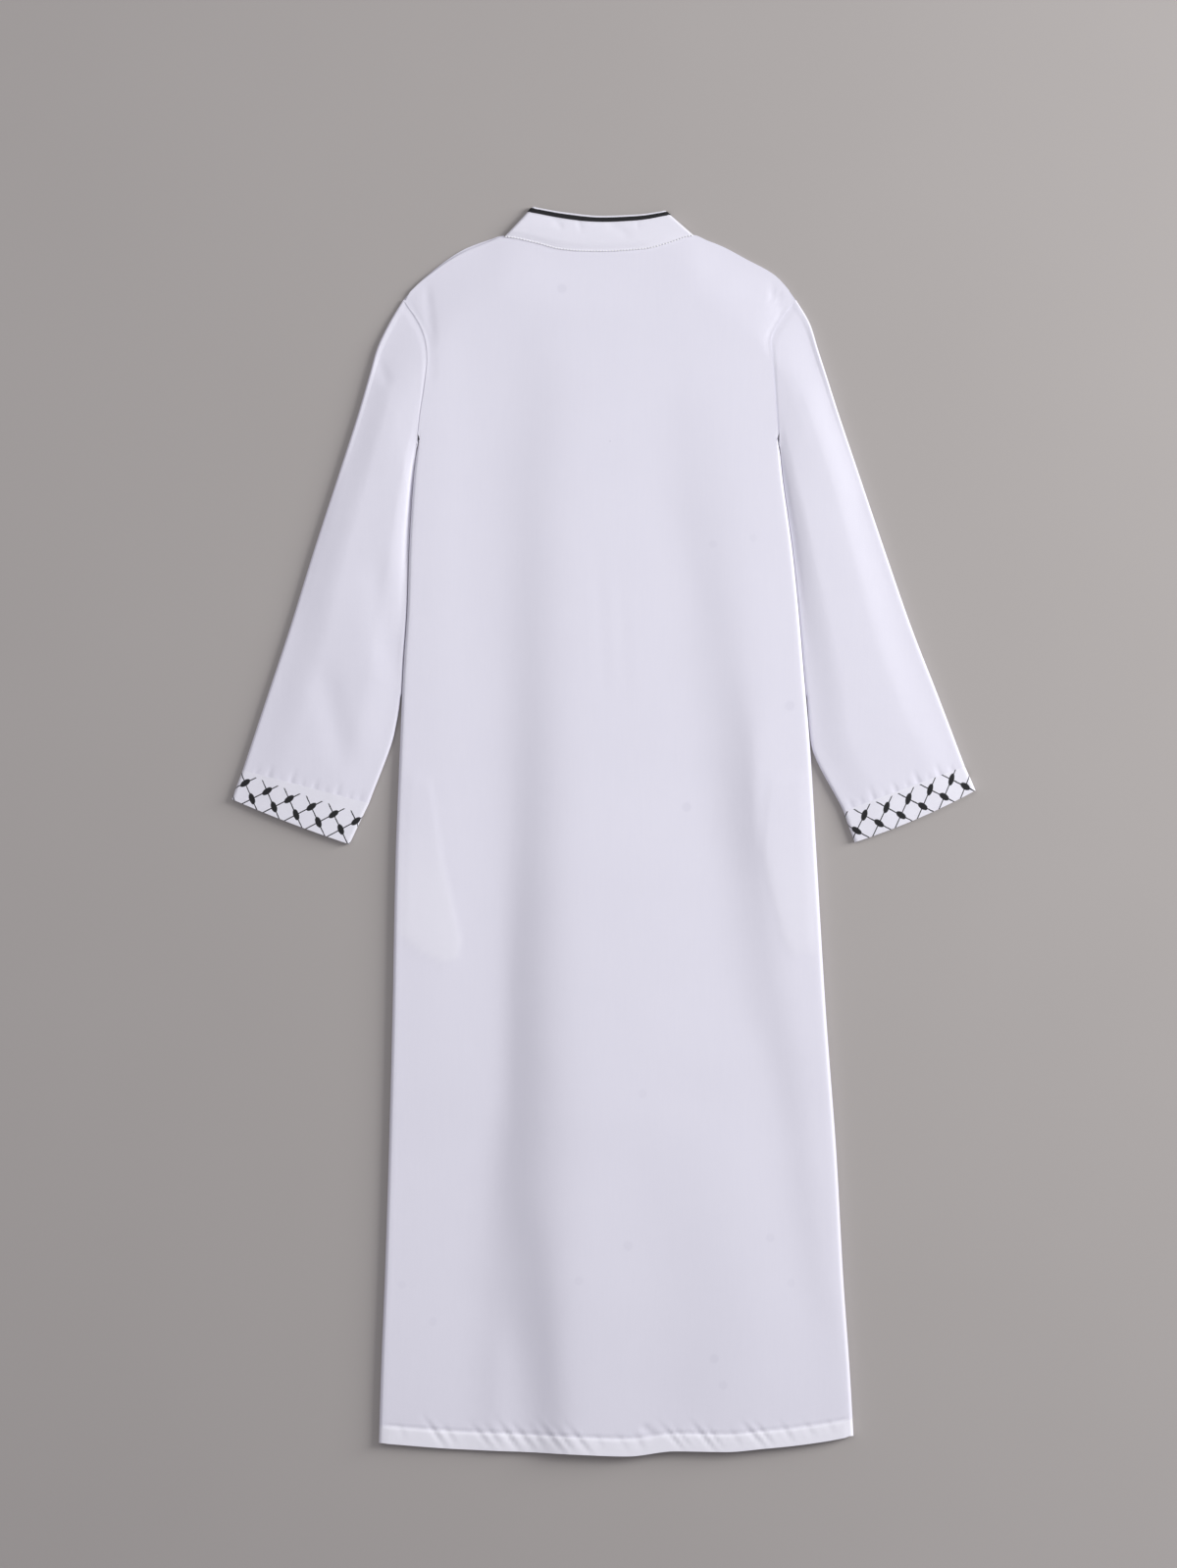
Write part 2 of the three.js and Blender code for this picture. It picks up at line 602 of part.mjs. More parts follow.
// ---- pocket bags ----
function bag(corners) {
  return fromManifold(new CrossSection([corners]).extrude(BAG_THICK).translate([0, 0, BAG_LOW]));
}
add('pocket_bag_left', bag(BAG_LEFT), POCKET_WHITE, POCKET_ROUGH);
add('pocket_bag_right', bag(BAG_RIGHT), POCKET_WHITE, POCKET_ROUGH);

// ---- sleeves and cuff bands: rings through sections ----
const RING_NOSE = [-90, -45, 0, 45, 90];
const RING_TOP = 11;
const RING_UNDER = 5;

// Plan place of a section at `across`, 0 at the outer end and 1 at the inner end.
function sleevePlan(row, across, right) {
  const gap = right ? SIDE_CLEAR : -SIDE_CLEAR;
  const edge = right ? bodyRight : bodyLeft;
  const inX = row.inX ?? edge(row.inY) + gap;
  const side = right ? 1 : -1;
  const wide = Math.hypot(inX - row.outX, row.inY - row.outY);
  const sag = (4 * (row.sag ?? 0) * across * (1 - across) * side) / wide;
  const x = lerp(row.outX, inX, across) + sag * (row.outY - row.inY);
  const y = lerp(row.outY, row.inY, across) + sag * (inX - row.outX);
  if (!row.bow) {
    return [x, y];
  }
  const holeY = lerp(SHOULDER_Y, ARMPIT_Y, across);
  const chord = lerp(edge(SHOULDER_Y), edge(ARMPIT_Y), across);
  return [x + row.bow * (edge(holeY) - chord) + (row.bow === 1 ? gap * (1 - across) : 0), y];
}

function ringRow(row, right) {
  const a = sleevePlan(row, 0, right);
  const b = sleevePlan(row, 1, right);
  const wide = Math.hypot(b[0] - a[0], b[1] - a[1]);
  const points = [];
  const put = (mm, z) => {
    const p = sleevePlan(row, mm / wide, right);
    points.push(new THREE.Vector3(p[0], p[1], z));
  };
  for (const turn of RING_NOSE) {
    const t = THREE.MathUtils.degToRad(turn);
    put(row.nose * (1 - Math.cos(t)), row.nose * (1 + Math.sin(t)));
  }
  const innerNose = row.bow === 1 ? SIDE_NOSE : row.nose;
  const innerWide = innerNose * (row.skew ?? 1);
  for (let i = 1; i < RING_TOP; i += 1) {
    const mm = lerp(row.nose, wide - innerWide, i / RING_TOP);
    const rim = lerp(2 * row.nose, 2 * innerNose, i / RING_TOP);
    const rise = smooth(mm / SLEEVE_RISE) * smooth((wide - mm) / SLEEVE_RISE);
    const own = lerp(rim, row.high, rise);
    const below = (mm / wide) * (SHOULDER_Y - ARMPIT_Y);
    const hole = lerp(SHOULDER_HIGH, 2 * SIDE_NOSE, smooth(below / SHOULDER_RISE));
    put(mm, lerp(own, hole, row.bow ?? 0));
  }
  for (const turn of [...RING_NOSE].reverse()) {
    const t = THREE.MathUtils.degToRad(turn);
    put(wide - innerWide * (1 - Math.cos(t)), innerNose * (1 + Math.sin(t)));
  }
  for (let i = RING_UNDER - 1; i > 0; i -= 1) {
    put(lerp(row.nose, wide - innerWide, i / RING_UNDER), 0);
  }
  return right ? points.reverse() : points;
}

function ringGrid(rows, right) {
  return [...rows].reverse().map((row) => ringRow(row, right));
}

// A section moved a little along the sleeve, to leave the seam gap.
function trimmed(rows, end, by) {
  return rows.map((row, i) => (i === end ? { ...row, outY: row.outY + by, inY: row.inY + by } : row));
}

add('sleeve_left', clothShell(ringGrid(trimmed(SLEEVE_LEFT, SLEEVE_LAST, SEAM), false), () => CLOTH, true),
  WHITE_CLOTH, CLOTH_ROUGH);
add('sleeve_right', clothShell(ringGrid(trimmed(SLEEVE_RIGHT, SLEEVE_LAST, SEAM), true), () => CLOTH, true),
  WHITE_CLOTH, CLOTH_ROUGH);
add('cuff_left', clothShell(ringGrid(trimmed(CUFF_LEFT, 0, -SEAM), false), () => BAND_WALL, true),
  BAND_WHITE, BAND_ROUGH);
add('cuff_right', clothShell(ringGrid(trimmed(CUFF_RIGHT, 0, -SEAM), true), () => BAND_WALL, true),
  BAND_WHITE, BAND_ROUGH);

// ---- collar: one band folded at both ends, its own ends meeting under the middle ----
const FRONT_GAP = 0.6;        // half the gap between the collar's two ends
const FRONT_TOP_DROP = 1;     // the front half's top edge under the back half's
const HALF_STEPS = 8;
const BACK_STEPS = 14;
const COLLAR_TURNS = [-60, -20, 20, 60];

// One station round the collar: its lower and upper edge in plan, height, and how it faces.
function collarStations() {
  const list = [];
  const mid = (NECK_LEFT.x + NECK_RIGHT.x) / 2;
  const topMid = (COLLAR_BACK_TOP[0].x + COLLAR_BACK_TOP[COLLAR_LAST].x) / 2;
  const endTop = (right) => COLLAR_BACK_TOP[right ? COLLAR_LAST : 0];
  const low = COLLAR_LIFT;
  const high = COLLAR_LIFT + 2 * COLLAR_NOSE;
  const frontHalf = (right) => {
    const side = [];
    for (let i = 0; i <= HALF_STEPS; i += 1) {
      const t = Math.sin(0.5 * Math.PI * i / HALF_STEPS);
      const neck = right ? NECK_RIGHT : NECK_LEFT;
      const sign = right ? 1 : -1;
      const x = lerp(mid + sign * FRONT_GAP, neck.x - sign * COLLAR_NOSE_WIDE, t);
      const topX = lerp(topMid + sign * FRONT_GAP, endTop(right).x - sign * COLLAR_NOSE_WIDE, t);
      const dip = FRONT_NECK_DROP * Math.sqrt(1 - t * t);
      side.push({
        x,
        y: FRONT_NECK_Y - dip + NECK_CLEAR,
        topX,
        topY: endTop(right).y - FRONT_TOP_DROP - dip * COLLAR_FRONT_DIP,
        z: low,
      });
    }
    return side;
  };
  const nose = (right) => COLLAR_TURNS.map((turn) => {
    const a = THREE.MathUtils.degToRad(turn);
    const sign = right ? 1 : -1;
    const neck = right ? NECK_RIGHT : NECK_LEFT;
    const out = COLLAR_NOSE_WIDE * (Math.cos(a) - 1);
    return {
      x: neck.x + sign * out,
      y: neck.y + NECK_CLEAR,
      topX: endTop(right).x + sign * out,
      topY: endTop(right).y,
      z: low + COLLAR_NOSE * (1 + Math.sin(a)),
    };
  });
  list.push(...frontHalf(true), ...nose(true));
  for (let i = 0; i <= BACK_STEPS; i += 1) {
    const t = i / BACK_STEPS;
    const x = lerp(NECK_RIGHT.x - COLLAR_NOSE_WIDE, NECK_LEFT.x + COLLAR_NOSE_WIDE, t);
    const topX = lerp(endTop(true).x - COLLAR_NOSE_WIDE, endTop(false).x + COLLAR_NOSE_WIDE, t);
    const topY = read(COLLAR_BACK_TOP, 'x', 'y', topX);
    list.push({ x, y: read(TOP_EDGE, 'x', 'y', x) + NECK_CLEAR, topX, topY, z: high });
  }
  list.push(...nose(false).reverse(), ...frontHalf(false).reverse());
  return list;
}

function collarPoint(s, up, out) {
  return new THREE.Vector3(lerp(s.x, s.topX, up), lerp(s.y, s.topY, up), s.z + out);
}

const stations = collarStations();
const COLLAR_RISES = [0, 0.33, 0.66, 1];
const collarGrid = COLLAR_RISES.map((up) => stations.map((s) => collarPoint(s, up, 0)).reverse());
add('collar', clothShell(collarGrid, () => BAND_WALL, false), BAND_WHITE, BAND_ROUGH);

// ---- trim: a narrow black ribbon round the outside of the collar, just below its top edge ----
function ribbonGrid() {
  const low = 1 - (TRIM_INSET + TRIM_WIDE) / COLLAR_DEEP;
  const top = 1 - TRIM_INSET / COLLAR_DEEP;
  const onCollar = [low, top].map((up) => stations.map((s) => collarPoint(s, up, 0)).reverse());
  return movedOut(onCollar, TRIM_CLEAR + TRIM_THICK);
}
add('collar_trim', clothShell(ribbonGrid(), () => TRIM_THICK, false), TRIM_BLACK, RIBBON_ROUGH);

export default robe;
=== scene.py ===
import math

import bpy
import numpy as np
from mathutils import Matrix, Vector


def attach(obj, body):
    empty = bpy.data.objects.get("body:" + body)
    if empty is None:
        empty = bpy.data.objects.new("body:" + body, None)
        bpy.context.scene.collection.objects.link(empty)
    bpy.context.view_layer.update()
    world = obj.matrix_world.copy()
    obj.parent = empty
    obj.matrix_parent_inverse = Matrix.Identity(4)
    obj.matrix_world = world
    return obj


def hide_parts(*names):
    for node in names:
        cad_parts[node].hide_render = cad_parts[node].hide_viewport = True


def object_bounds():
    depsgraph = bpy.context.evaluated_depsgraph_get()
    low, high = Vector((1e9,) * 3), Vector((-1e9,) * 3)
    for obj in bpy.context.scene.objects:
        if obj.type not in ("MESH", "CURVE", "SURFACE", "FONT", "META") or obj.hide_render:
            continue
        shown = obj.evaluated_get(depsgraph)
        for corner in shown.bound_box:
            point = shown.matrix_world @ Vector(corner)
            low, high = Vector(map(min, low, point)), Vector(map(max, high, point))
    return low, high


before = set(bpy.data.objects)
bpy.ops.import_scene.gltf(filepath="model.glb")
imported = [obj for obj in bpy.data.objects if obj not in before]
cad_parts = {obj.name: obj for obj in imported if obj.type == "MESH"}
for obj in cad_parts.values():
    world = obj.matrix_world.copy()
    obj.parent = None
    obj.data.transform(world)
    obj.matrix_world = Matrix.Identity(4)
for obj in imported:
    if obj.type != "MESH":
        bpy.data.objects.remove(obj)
cad_low, cad_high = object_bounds()
ground = cad_low[2]


# ---- Back panel ----
# One long panel of thin smooth white cloth from the neck to the hem. It wraps round both sides to the
# side seams underneath, hangs in long soft folds, and its hem is turned up once and stitched.

CLOTH = 0.0009
HEM_WALL = 0.0018
HEM_DEEP = 0.021
SIDE_NOSE = 0.0034
TUCK = 0.034
SHOULDER_HIGH = 0.0033
NECK_HIGH = 0.0046
SHOULDER_RISE = 0.075
ARMPIT_Y = 0.447
SHOULDER_Y = 0.618
SIDE_CLEAR = 0.0004
NECK_LEFT_X, NECK_LEFT_Y = -0.116, 0.6918
NECK_RIGHT_X, NECK_RIGHT_Y = 0.1052, 0.6934

# Outline of the body from above; over the armpit it is the armhole seam.
BODY = {
    "y": [-0.713, -0.636, -0.522, -0.379, -0.208, -0.037, 0.098, 0.191, 0.259, 0.329, 0.371, 0.41,
          0.451, 0.482, 0.525, 0.551, 0.571, 0.586, 0.603, SHOULDER_Y],
    "left": [-0.2616, -0.2594, -0.2548, -0.2502, -0.2457, -0.2423, -0.2371, -0.2331, -0.2286, -0.2263,
             -0.224, -0.2212, -0.217, -0.2138, -0.2074, -0.2052, -0.2074, -0.2125, -0.2225, -0.2336],
    "right": [0.291, 0.2867, 0.2787, 0.2708, 0.2582, 0.248, 0.24, 0.2322, 0.2265, 0.2192, 0.2135,
              0.2082, 0.2043, 0.2015, 0.1978, 0.1956, 0.1941, 0.2003, 0.211, 0.224],
}
TOP_EDGE = {
    "x": [-0.2336, -0.2252, -0.2103, -0.1636, -0.1465, -0.1317, NECK_LEFT_X, -0.077, -0.0519, -0.0268,
          -0.0023, 0.0473, 0.0718, NECK_RIGHT_X, 0.1191, 0.1374, 0.1655, 0.1982, 0.2115, 0.224],
    "y": [0.618, 0.6276, 0.6413, 0.6732, 0.6805, 0.6862, NECK_LEFT_Y, 0.6846, 0.6781, 0.6756,
          0.6752, 0.6781, 0.6838, NECK_RIGHT_Y, 0.6876, 0.6805, 0.6655, 0.6475, 0.6344, 0.618],
}
HEM_EDGE = {
    "x": [-0.2616, -0.1693, -0.037, 0.0279, 0.0827, 0.1419, 0.1875, 0.2138, 0.2559, 0.291],
    "y": [-0.7115, -0.7188, -0.7238, -0.7262, -0.7204, -0.7212, -0.7174, -0.715, -0.7096, -0.7032],
}
# Radius of the rolled side along the body: tight on the left, fuller on the right.
ROLL = {
    "y": [-0.727, -0.6, -0.4, 0.0, 0.2, 0.4, 0.571],
    "left": [0.0044, 0.0044, 0.0044, 0.0044, 0.0042, 0.0037, SIDE_NOSE],
    "right": [0.0046, 0.005, 0.0052, 0.0052, 0.0048, 0.0039, SIDE_NOSE],
}

# Long folds, each a rise across the body: where its steepest line runs, how far the rise reaches to
# the left and to the right of it, and how steep it is there. A minus slope falls to the right.
LONG_FOLD = {
    "y": [-0.73, -0.63, -0.516, -0.402, -0.288, -0.174, -0.06, 0.054, 0.168, 0.282, 0.396, 0.51,
          0.567, 0.63],
    "x": [-0.06, -0.067, -0.08, -0.1, -0.097, -0.097, -0.09, -0.086, -0.086, -0.086, -0.086,
          -0.075, -0.075, -0.075],
    "lead": [0.03, 0.034, 0.052, 0.03, 0.02, 0.019, 0.024, 0.027, 0.03, 0.03, 0.034, 0.038, 0.034,
             0.03],
    "trail": [0.022, 0.023, 0.032, 0.048, 0.044, 0.043, 0.037, 0.036, 0.034, 0.034, 0.034, 0.03, 0.026,
              0.026],
    "slope": [0.2, 0.24, 0.265, 0.28, 0.28, 0.26, 0.23, 0.18, 0.15, 0.12, 0.095, 0.065, 0.03,
              0.0],
}
SIDE_FOLD = {
    "y": [-0.73, -0.6, -0.516, -0.402, -0.288, -0.174, -0.06, 0.01, 0.054, 0.11, 0.168, 0.282,
          0.396, 0.51, 0.6],
    "x": [0.262, 0.262, 0.245, 0.23, 0.213, 0.188, 0.176, 0.169, 0.167, 0.163, 0.148, 0.125, 0.102,
          0.097, 0.097],
    "lead": [0.02, 0.022, 0.023, 0.023, 0.021, 0.034, 0.034, 0.038, 0.04, 0.04, 0.04, 0.029, 0.029,
             0.03, 0.03],
    "trail": [0.014, 0.016, 0.017, 0.018, 0.021, 0.023, 0.018, 0.012, 0.011, 0.014, 0.025, 0.034, 0.05,
              0.04, 0.04],
    "slope": [0.0, 0.03, 0.07, 0.09, 0.1, 0.11, 0.155, 0.2, 0.205, 0.17, 0.125, 0.095, 0.07,
              0.025, 0.0],
}
LOW_FOLD = {
    "y": [-0.73, -0.63, -0.516, -0.402, -0.33],
    "x": [0.12, 0.116, 0.112, 0.1, 0.09],
    "lead": [0.06] * 5,
    "trail": [0.06] * 5,
    "slope": [0.03, 0.05, 0.05, 0.035, 0.0],
}
HEM_FOLD = {
    "y": [-0.73, -0.63, -0.56, -0.5],
    "x": [-0.134, -0.132, -0.13, -0.13],
    "lead": [0.024] * 4,
    "trail": [0.012] * 4,
    "slope": [0.07, 0.09, 0.04, 0.0],
}
LEFT_FALL = {
    "y": [-0.3, -0.1, 0.1, 0.4, 0.56, 0.62],
    "x": [-0.172, -0.172, -0.174, -0.176, -0.176, -0.176],
    "lead": [0.024] * 6,
    "trail": [0.024] * 6,
    "slope": [0.0, -0.022, -0.022, -0.034, -0.024, 0.0],
}
RISES = (LONG_FOLD, SIDE_FOLD, LOW_FOLD, HEM_FOLD, LEFT_FALL)
# The two numbers of a rise's soft S shape, and its share of a straight slope.
SWELL = 1.129
SWELL_CURVE = 0.1
SWELL_SHARE = 0.886

# Short creases: two ends, half width and depth. A minus depth is a ridge.
CREASE_COLUMNS = ("x1", "y1", "x2", "y2", "wide", "deep")
BACK_CREASES = {
    "left armhole": (-0.206, 0.632, -0.1995, 0.57, 0.0055, 0.0008),
    "left armhole low": (-0.2, 0.575, -0.201, 0.52, 0.006, 0.0004),
    "right armhole a": (0.1945, 0.632, 0.201, 0.606, 0.0035, 0.0009),
    "right armhole b": (0.203, 0.626, 0.2085, 0.606, 0.0025, 0.0009),
    "centre pair a": (-0.007, 0.33, 0.001, 0.15, 0.0085, 0.00018),
    "centre pair b": (0.018, 0.32, 0.024, 0.14, 0.0085, 0.00016),
    "hem fold": (0.044, -0.69, 0.06, -0.704, 0.004, 0.0009),
}

# The hem: how much its band stands up, the groove that its stitches pull, and the width of a pucker,
# of the ridge beside it and of the step between them.
HEM_LIFT = 0.0006
HEM_STEP = 0.003
GROOVE_DEEP = 0.0007
GROOVE_WIDE = 0.0022
PUCKER_WIDE = 0.003
RIDGE_WIDE = 0.0035
RIDGE_ASIDE = 0.0055
RIDGE_SHARE = 0.5
PUCKER_FADE = 3
PUCKER_DOWN = 0.004

# Puckers that the hem's stitching draws up: place along the hem, slant, length and depth.
PUCKER_COLUMNS = ("x", "slant", "long", "deep")
HEM_PUCKERS = (
    (-0.236, 0.5, 0.014, 0.0004), (-0.196, 0.7, 0.024, 0.0012), (-0.18, 0.6, 0.016, 0.0007),
    (-0.143, 0.8, 0.02, 0.0009), (-0.128, 0.7, 0.018, 0.0008), (-0.11, 0.7, 0.024, 0.0014),
    (-0.093, 0.8, 0.021, 0.0011), (-0.077, 0.6, 0.018, 0.0008), (-0.06, 0.8, 0.024, 0.0014),
    (-0.046, 0.7, 0.02, 0.0009), (-0.028, 0.8, 0.023, 0.0012), (-0.006, 0.5, 0.014, 0.0005),
    (0.02, 0.6, 0.016, 0.0005), (0.04, 0.5, 0.016, 0.0007), (0.079, 0.8, 0.024, 0.0012),
    (0.09, 0.7, 0.018, 0.0008), (0.116, 0.8, 0.024, 0.0014), (0.128, 0.6, 0.018, 0.0008),
    (0.152, 0.6, 0.016, 0.0005), (0.174, 0.8, 0.023, 0.0012), (0.186, 0.7, 0.02, 0.0009),
    (0.212, 0.6, 0.018, 0.0007), (0.238, 0.6, 0.016, 0.0005), (0.262, 0.5, 0.014, 0.0004),
)

# Outline of each pocket bag pressing through the back from inside.
BAG_LEFT = ((-0.24, 0.07), (-0.203, 0.062), (-0.186, -0.04), (-0.166, -0.128), (-0.17, -0.149),
            (-0.186, -0.152), (-0.212, -0.142), (-0.24, -0.118))
BAG_RIGHT = ((0.246, 0.07), (0.246, -0.14), (0.222, -0.144), (0.21, -0.132), (0.196, -0.08),
             (0.184, -0.026), (0.192, 0.062))
BAG_PRESS = 0.00042
BAG_SOFT = 0.01

# How the whiteness of doubled cloth fades: over the hem's top, round a bag, and up from a bag's foot.
HEM_FADE = 0.0015
BAG_FADE = 0.008
BAG_TOP = 0.03
BAG_FOOT_LONG = 0.11
BAG_SHARES = ((BAG_LEFT, 0.5), (BAG_RIGHT, 0.28))

# Edges of a cloth piece that turn by more than this stay sharp.
SHARP_ANGLE = math.radians(55)


def smooth(t):
    c = np.clip(t, 0.0, 1.0)
    return c * c * (3 - 2 * c)


def lerp(a, b, t):
    return a + (b - a) * t


def read(table, by, column, at):
    """A column's value at a place in another, on a monotone curve through the rows."""
    x = np.asarray(table[by], float)
    v = np.asarray(table[column], float)
    step = np.diff(x)
    slope = np.diff(v) / step
    tangent = np.empty_like(v)
    tangent[0], tangent[-1] = slope[0], slope[-1]
    a, b = slope[:-1], slope[1:]
    total = np.where(a + b == 0, 1.0, a + b)
    tangent[1:-1] = np.where(a * b <= 0, 0.0, 2 * a * b / total)
    place = np.clip(np.asarray(at, float), x[0], x[-1])
    i = np.clip(np.searchsorted(x, place, side="right") - 1, 0, len(x) - 2)
    t = (place - x[i]) / step[i]
    t2, t3 = t * t, t * t * t
    return ((2 * t3 - 3 * t2 + 1) * v[i] + (t3 - 2 * t2 + t) * step[i] * tangent[i]
            + (3 * t2 - 2 * t3) * v[i + 1] + (t3 - t2) * step[i] * tangent[i + 1])


def body_left(y):
    return read(BODY, "y", "left", y)


def body_right(y):
    return read(BODY, "y", "right", y)


def rise_to(x, y):
    """How far the long folds have lifted the cloth by a place, counted from the left side."""
    total = 0.0
    for fold in RISES:
        off = x - read(fold, "y", "x", y)
        reach = np.where(off < 0, read(fold, "y", "lead", y), read(fold, "y", "trail", y))
        t = off / reach
        swell = np.tanh(t * (SWELL + SWELL_CURVE * t * t)) * reach
        total = total + SWELL_SHARE * read(fold, "y", "slope", y) * (read(fold, "y", "lead", y) + swell)
    return total


def crease_rise(x, y, creases):
    """Soft narrow troughs, each deepest half way along and fading out at its ends."""
    rise = 0.0
    for row in creases:
        c = dict(zip(CREASE_COLUMNS, row))
        dx, dy = c["x2"] - c["x1"], c["y2"] - c["y1"]
        long = math.hypot(dx, dy)
        along = ((x - c["x1"]) * dx + (y - c["y1"]) * dy) / (long * long)
        off = ((x - c["x1"]) * dy - (y - c["y1"]) * dx) / long / c["wide"]
        fade = smooth((along + 0.15) / 0.4) * smooth((1.15 - along) / 0.4)
        rise = rise - c["deep"] * np.exp(-off * off) * fade
    return rise


def inside_by(x, y, corners):
    """How far a place lies inside a flat outline; minus outside it."""
    near = np.full(np.shape(x), 1e9)
    inside = np.zeros(np.shape(x), bool)
    for k, (ax, ay) in enumerate(corners):
        bx, by = corners[(k + 1) % len(corners)]
        ex, ey = bx - ax, by - ay
        t = np.clip(((x - ax) * ex + (y - ay) * ey) / (ex * ex + ey * ey), 0, 1)
        near = np.minimum(near, np.hypot(x - ax - t * ex, y - ay - t * ey))
        crosses = ((ay > y) != (by > y)) & (x < ex * (y - ay) / (ey if ey else 1e-9) + ax)
        inside = inside ^ crosses
    return np.where(inside, near, -near)


NECK_MIDDLE = -0.005
NECK_RISE_FROM = 0.152
NECK_RISE = 0.07


def seam_high(x):
    """Top of the back panel along its shoulder and neck seams."""
    near = smooth((NECK_RISE_FROM - np.abs(x - NECK_MIDDLE)) / NECK_RISE)
    return lerp(SHOULDER_HIGH, NECK_HIGH, near)


def hem_rise(x, y, hem_y):
    """The turned-up hem: a raised band, a stitched groove along its top, and the puckers."""
    up = y - hem_y
    rise = HEM_LIFT * smooth((HEM_DEEP - up) / HEM_STEP)
    groove = (up - HEM_DEEP) / GROOVE_WIDE
    rise = rise - GROOVE_DEEP * np.exp(-groove * groove)
    middle = HEM_DEEP - PUCKER_DOWN
    for row in HEM_PUCKERS:
        p = dict(zip(PUCKER_COLUMNS, row))
        along = (up - middle) / p["long"]
        off = (x - p["x"] + (up - middle) * p["slant"]) / PUCKER_WIDE
        rise = rise - p["deep"] * np.exp(-off * off - along * along * PUCKER_FADE)
        ridge = (x - p["x"] - RIDGE_ASIDE + (up - middle) * p["slant"]) / RIDGE_WIDE
        rise = rise + RIDGE_SHARE * p["deep"] * np.exp(-ridge * ridge - along * along * PUCKER_FADE)
    return rise


SIDE_SOFT = 0.012
HEM_SIDE_SOFT = 0.01


def body_high(x, y, top_x, top_y, hem_y):
    """Height of the back: level with the rolled sides and seams, lifted by folds, creases and bags."""
    left, right = body_left(y), body_right(y)
    roll = np.where(x < (left + right) / 2, read(ROLL, "y", "left", y), read(ROLL, "y", "right", y))
    from_side = np.minimum(x - left, right - x) - roll
    low = 2 * read(ROLL, "y", "left", y)
    drop = 2 * read(ROLL, "y", "right", y) - rise_to(right, y) - low
    spread = low + drop * np.clip((x - left) / (right - left), 0, 1) + rise_to(x, y)
    high = lerp(seam_high(top_x), spread, smooth((top_y - y) / SHOULDER_RISE))
    side = smooth(from_side / SIDE_SOFT)
    high = high + crease_rise(x, y, BACK_CREASES.values())
    for corners in (BAG_LEFT, BAG_RIGHT):
        high = high + BAG_PRESS * smooth(0.5 + inside_by(x, y, corners) / BAG_SOFT) * side
    return high + hem_rise(x, y, hem_y) * smooth(from_side / HEM_SIDE_SOFT + 0.4)


def edge_place(edge, across):
    """A place along the top edge or the hem edge, from its left end to its right."""
    x = lerp(edge["x"][0], edge["x"][-1], across)
    return x, read(edge, "x", "y", x)


def back_point(across, up):
    """A place on the back panel, `across` from its left side to its right and `up` from hem to top."""
    top_x, top_y = edge_place(TOP_EDGE, across)
    hem_y = edge_place(HEM_EDGE, across)[1]
    y = lerp(hem_y, top_y, up)
    x = lerp(body_left(y), body_right(y), across)
    return x, y, body_high(x, y, top_x, top_y, hem_y)


def layers_below(x, y, hem_y):
    """1 where the back lies on a second layer, its turned-up hem or a pocket bag, and 0 elsewhere."""
    layers = smooth((HEM_DEEP - (y - hem_y)) / HEM_FADE)
    foot = smooth((BAG_TOP - y) / BAG_FOOT_LONG)
    for corners, share in BAG_SHARES:
        layers = np.maximum(layers, share * foot * smooth(0.5 + inside_by(x, y, corners) / BAG_FADE))
    return layers


def outwards(grid, ring=False):
    """The way that each point of a grid faces."""
    if ring:
        across = np.roll(grid, -1, 1) - np.roll(grid, 1, 1)
    else:
        ahead = np.concatenate([grid[:, 1:], grid[:, -1:]], 1)
        across = ahead - np.concatenate([grid[:, :1], grid[:, :-1]], 1)
    along = np.concatenate([grid[1:], grid[-1:]], 0) - np.concatenate([grid[:1], grid[:-1]], 0)
    out = np.cross(across, along)
    return out / np.linalg.norm(out, axis=2, keepdims=True)


def add_object(name, data):
    """Puts a new object into the scene."""
    made = bpy.data.objects.new(name, data)
    bpy.context.scene.collection.objects.link(made)
    return made


def pick(piece):
    """Makes a piece the one that the next operator works on."""
    bpy.ops.object.select_all(action="DESELECT")
    piece.select_set(True)
    bpy.context.view_layer.objects.active = piece


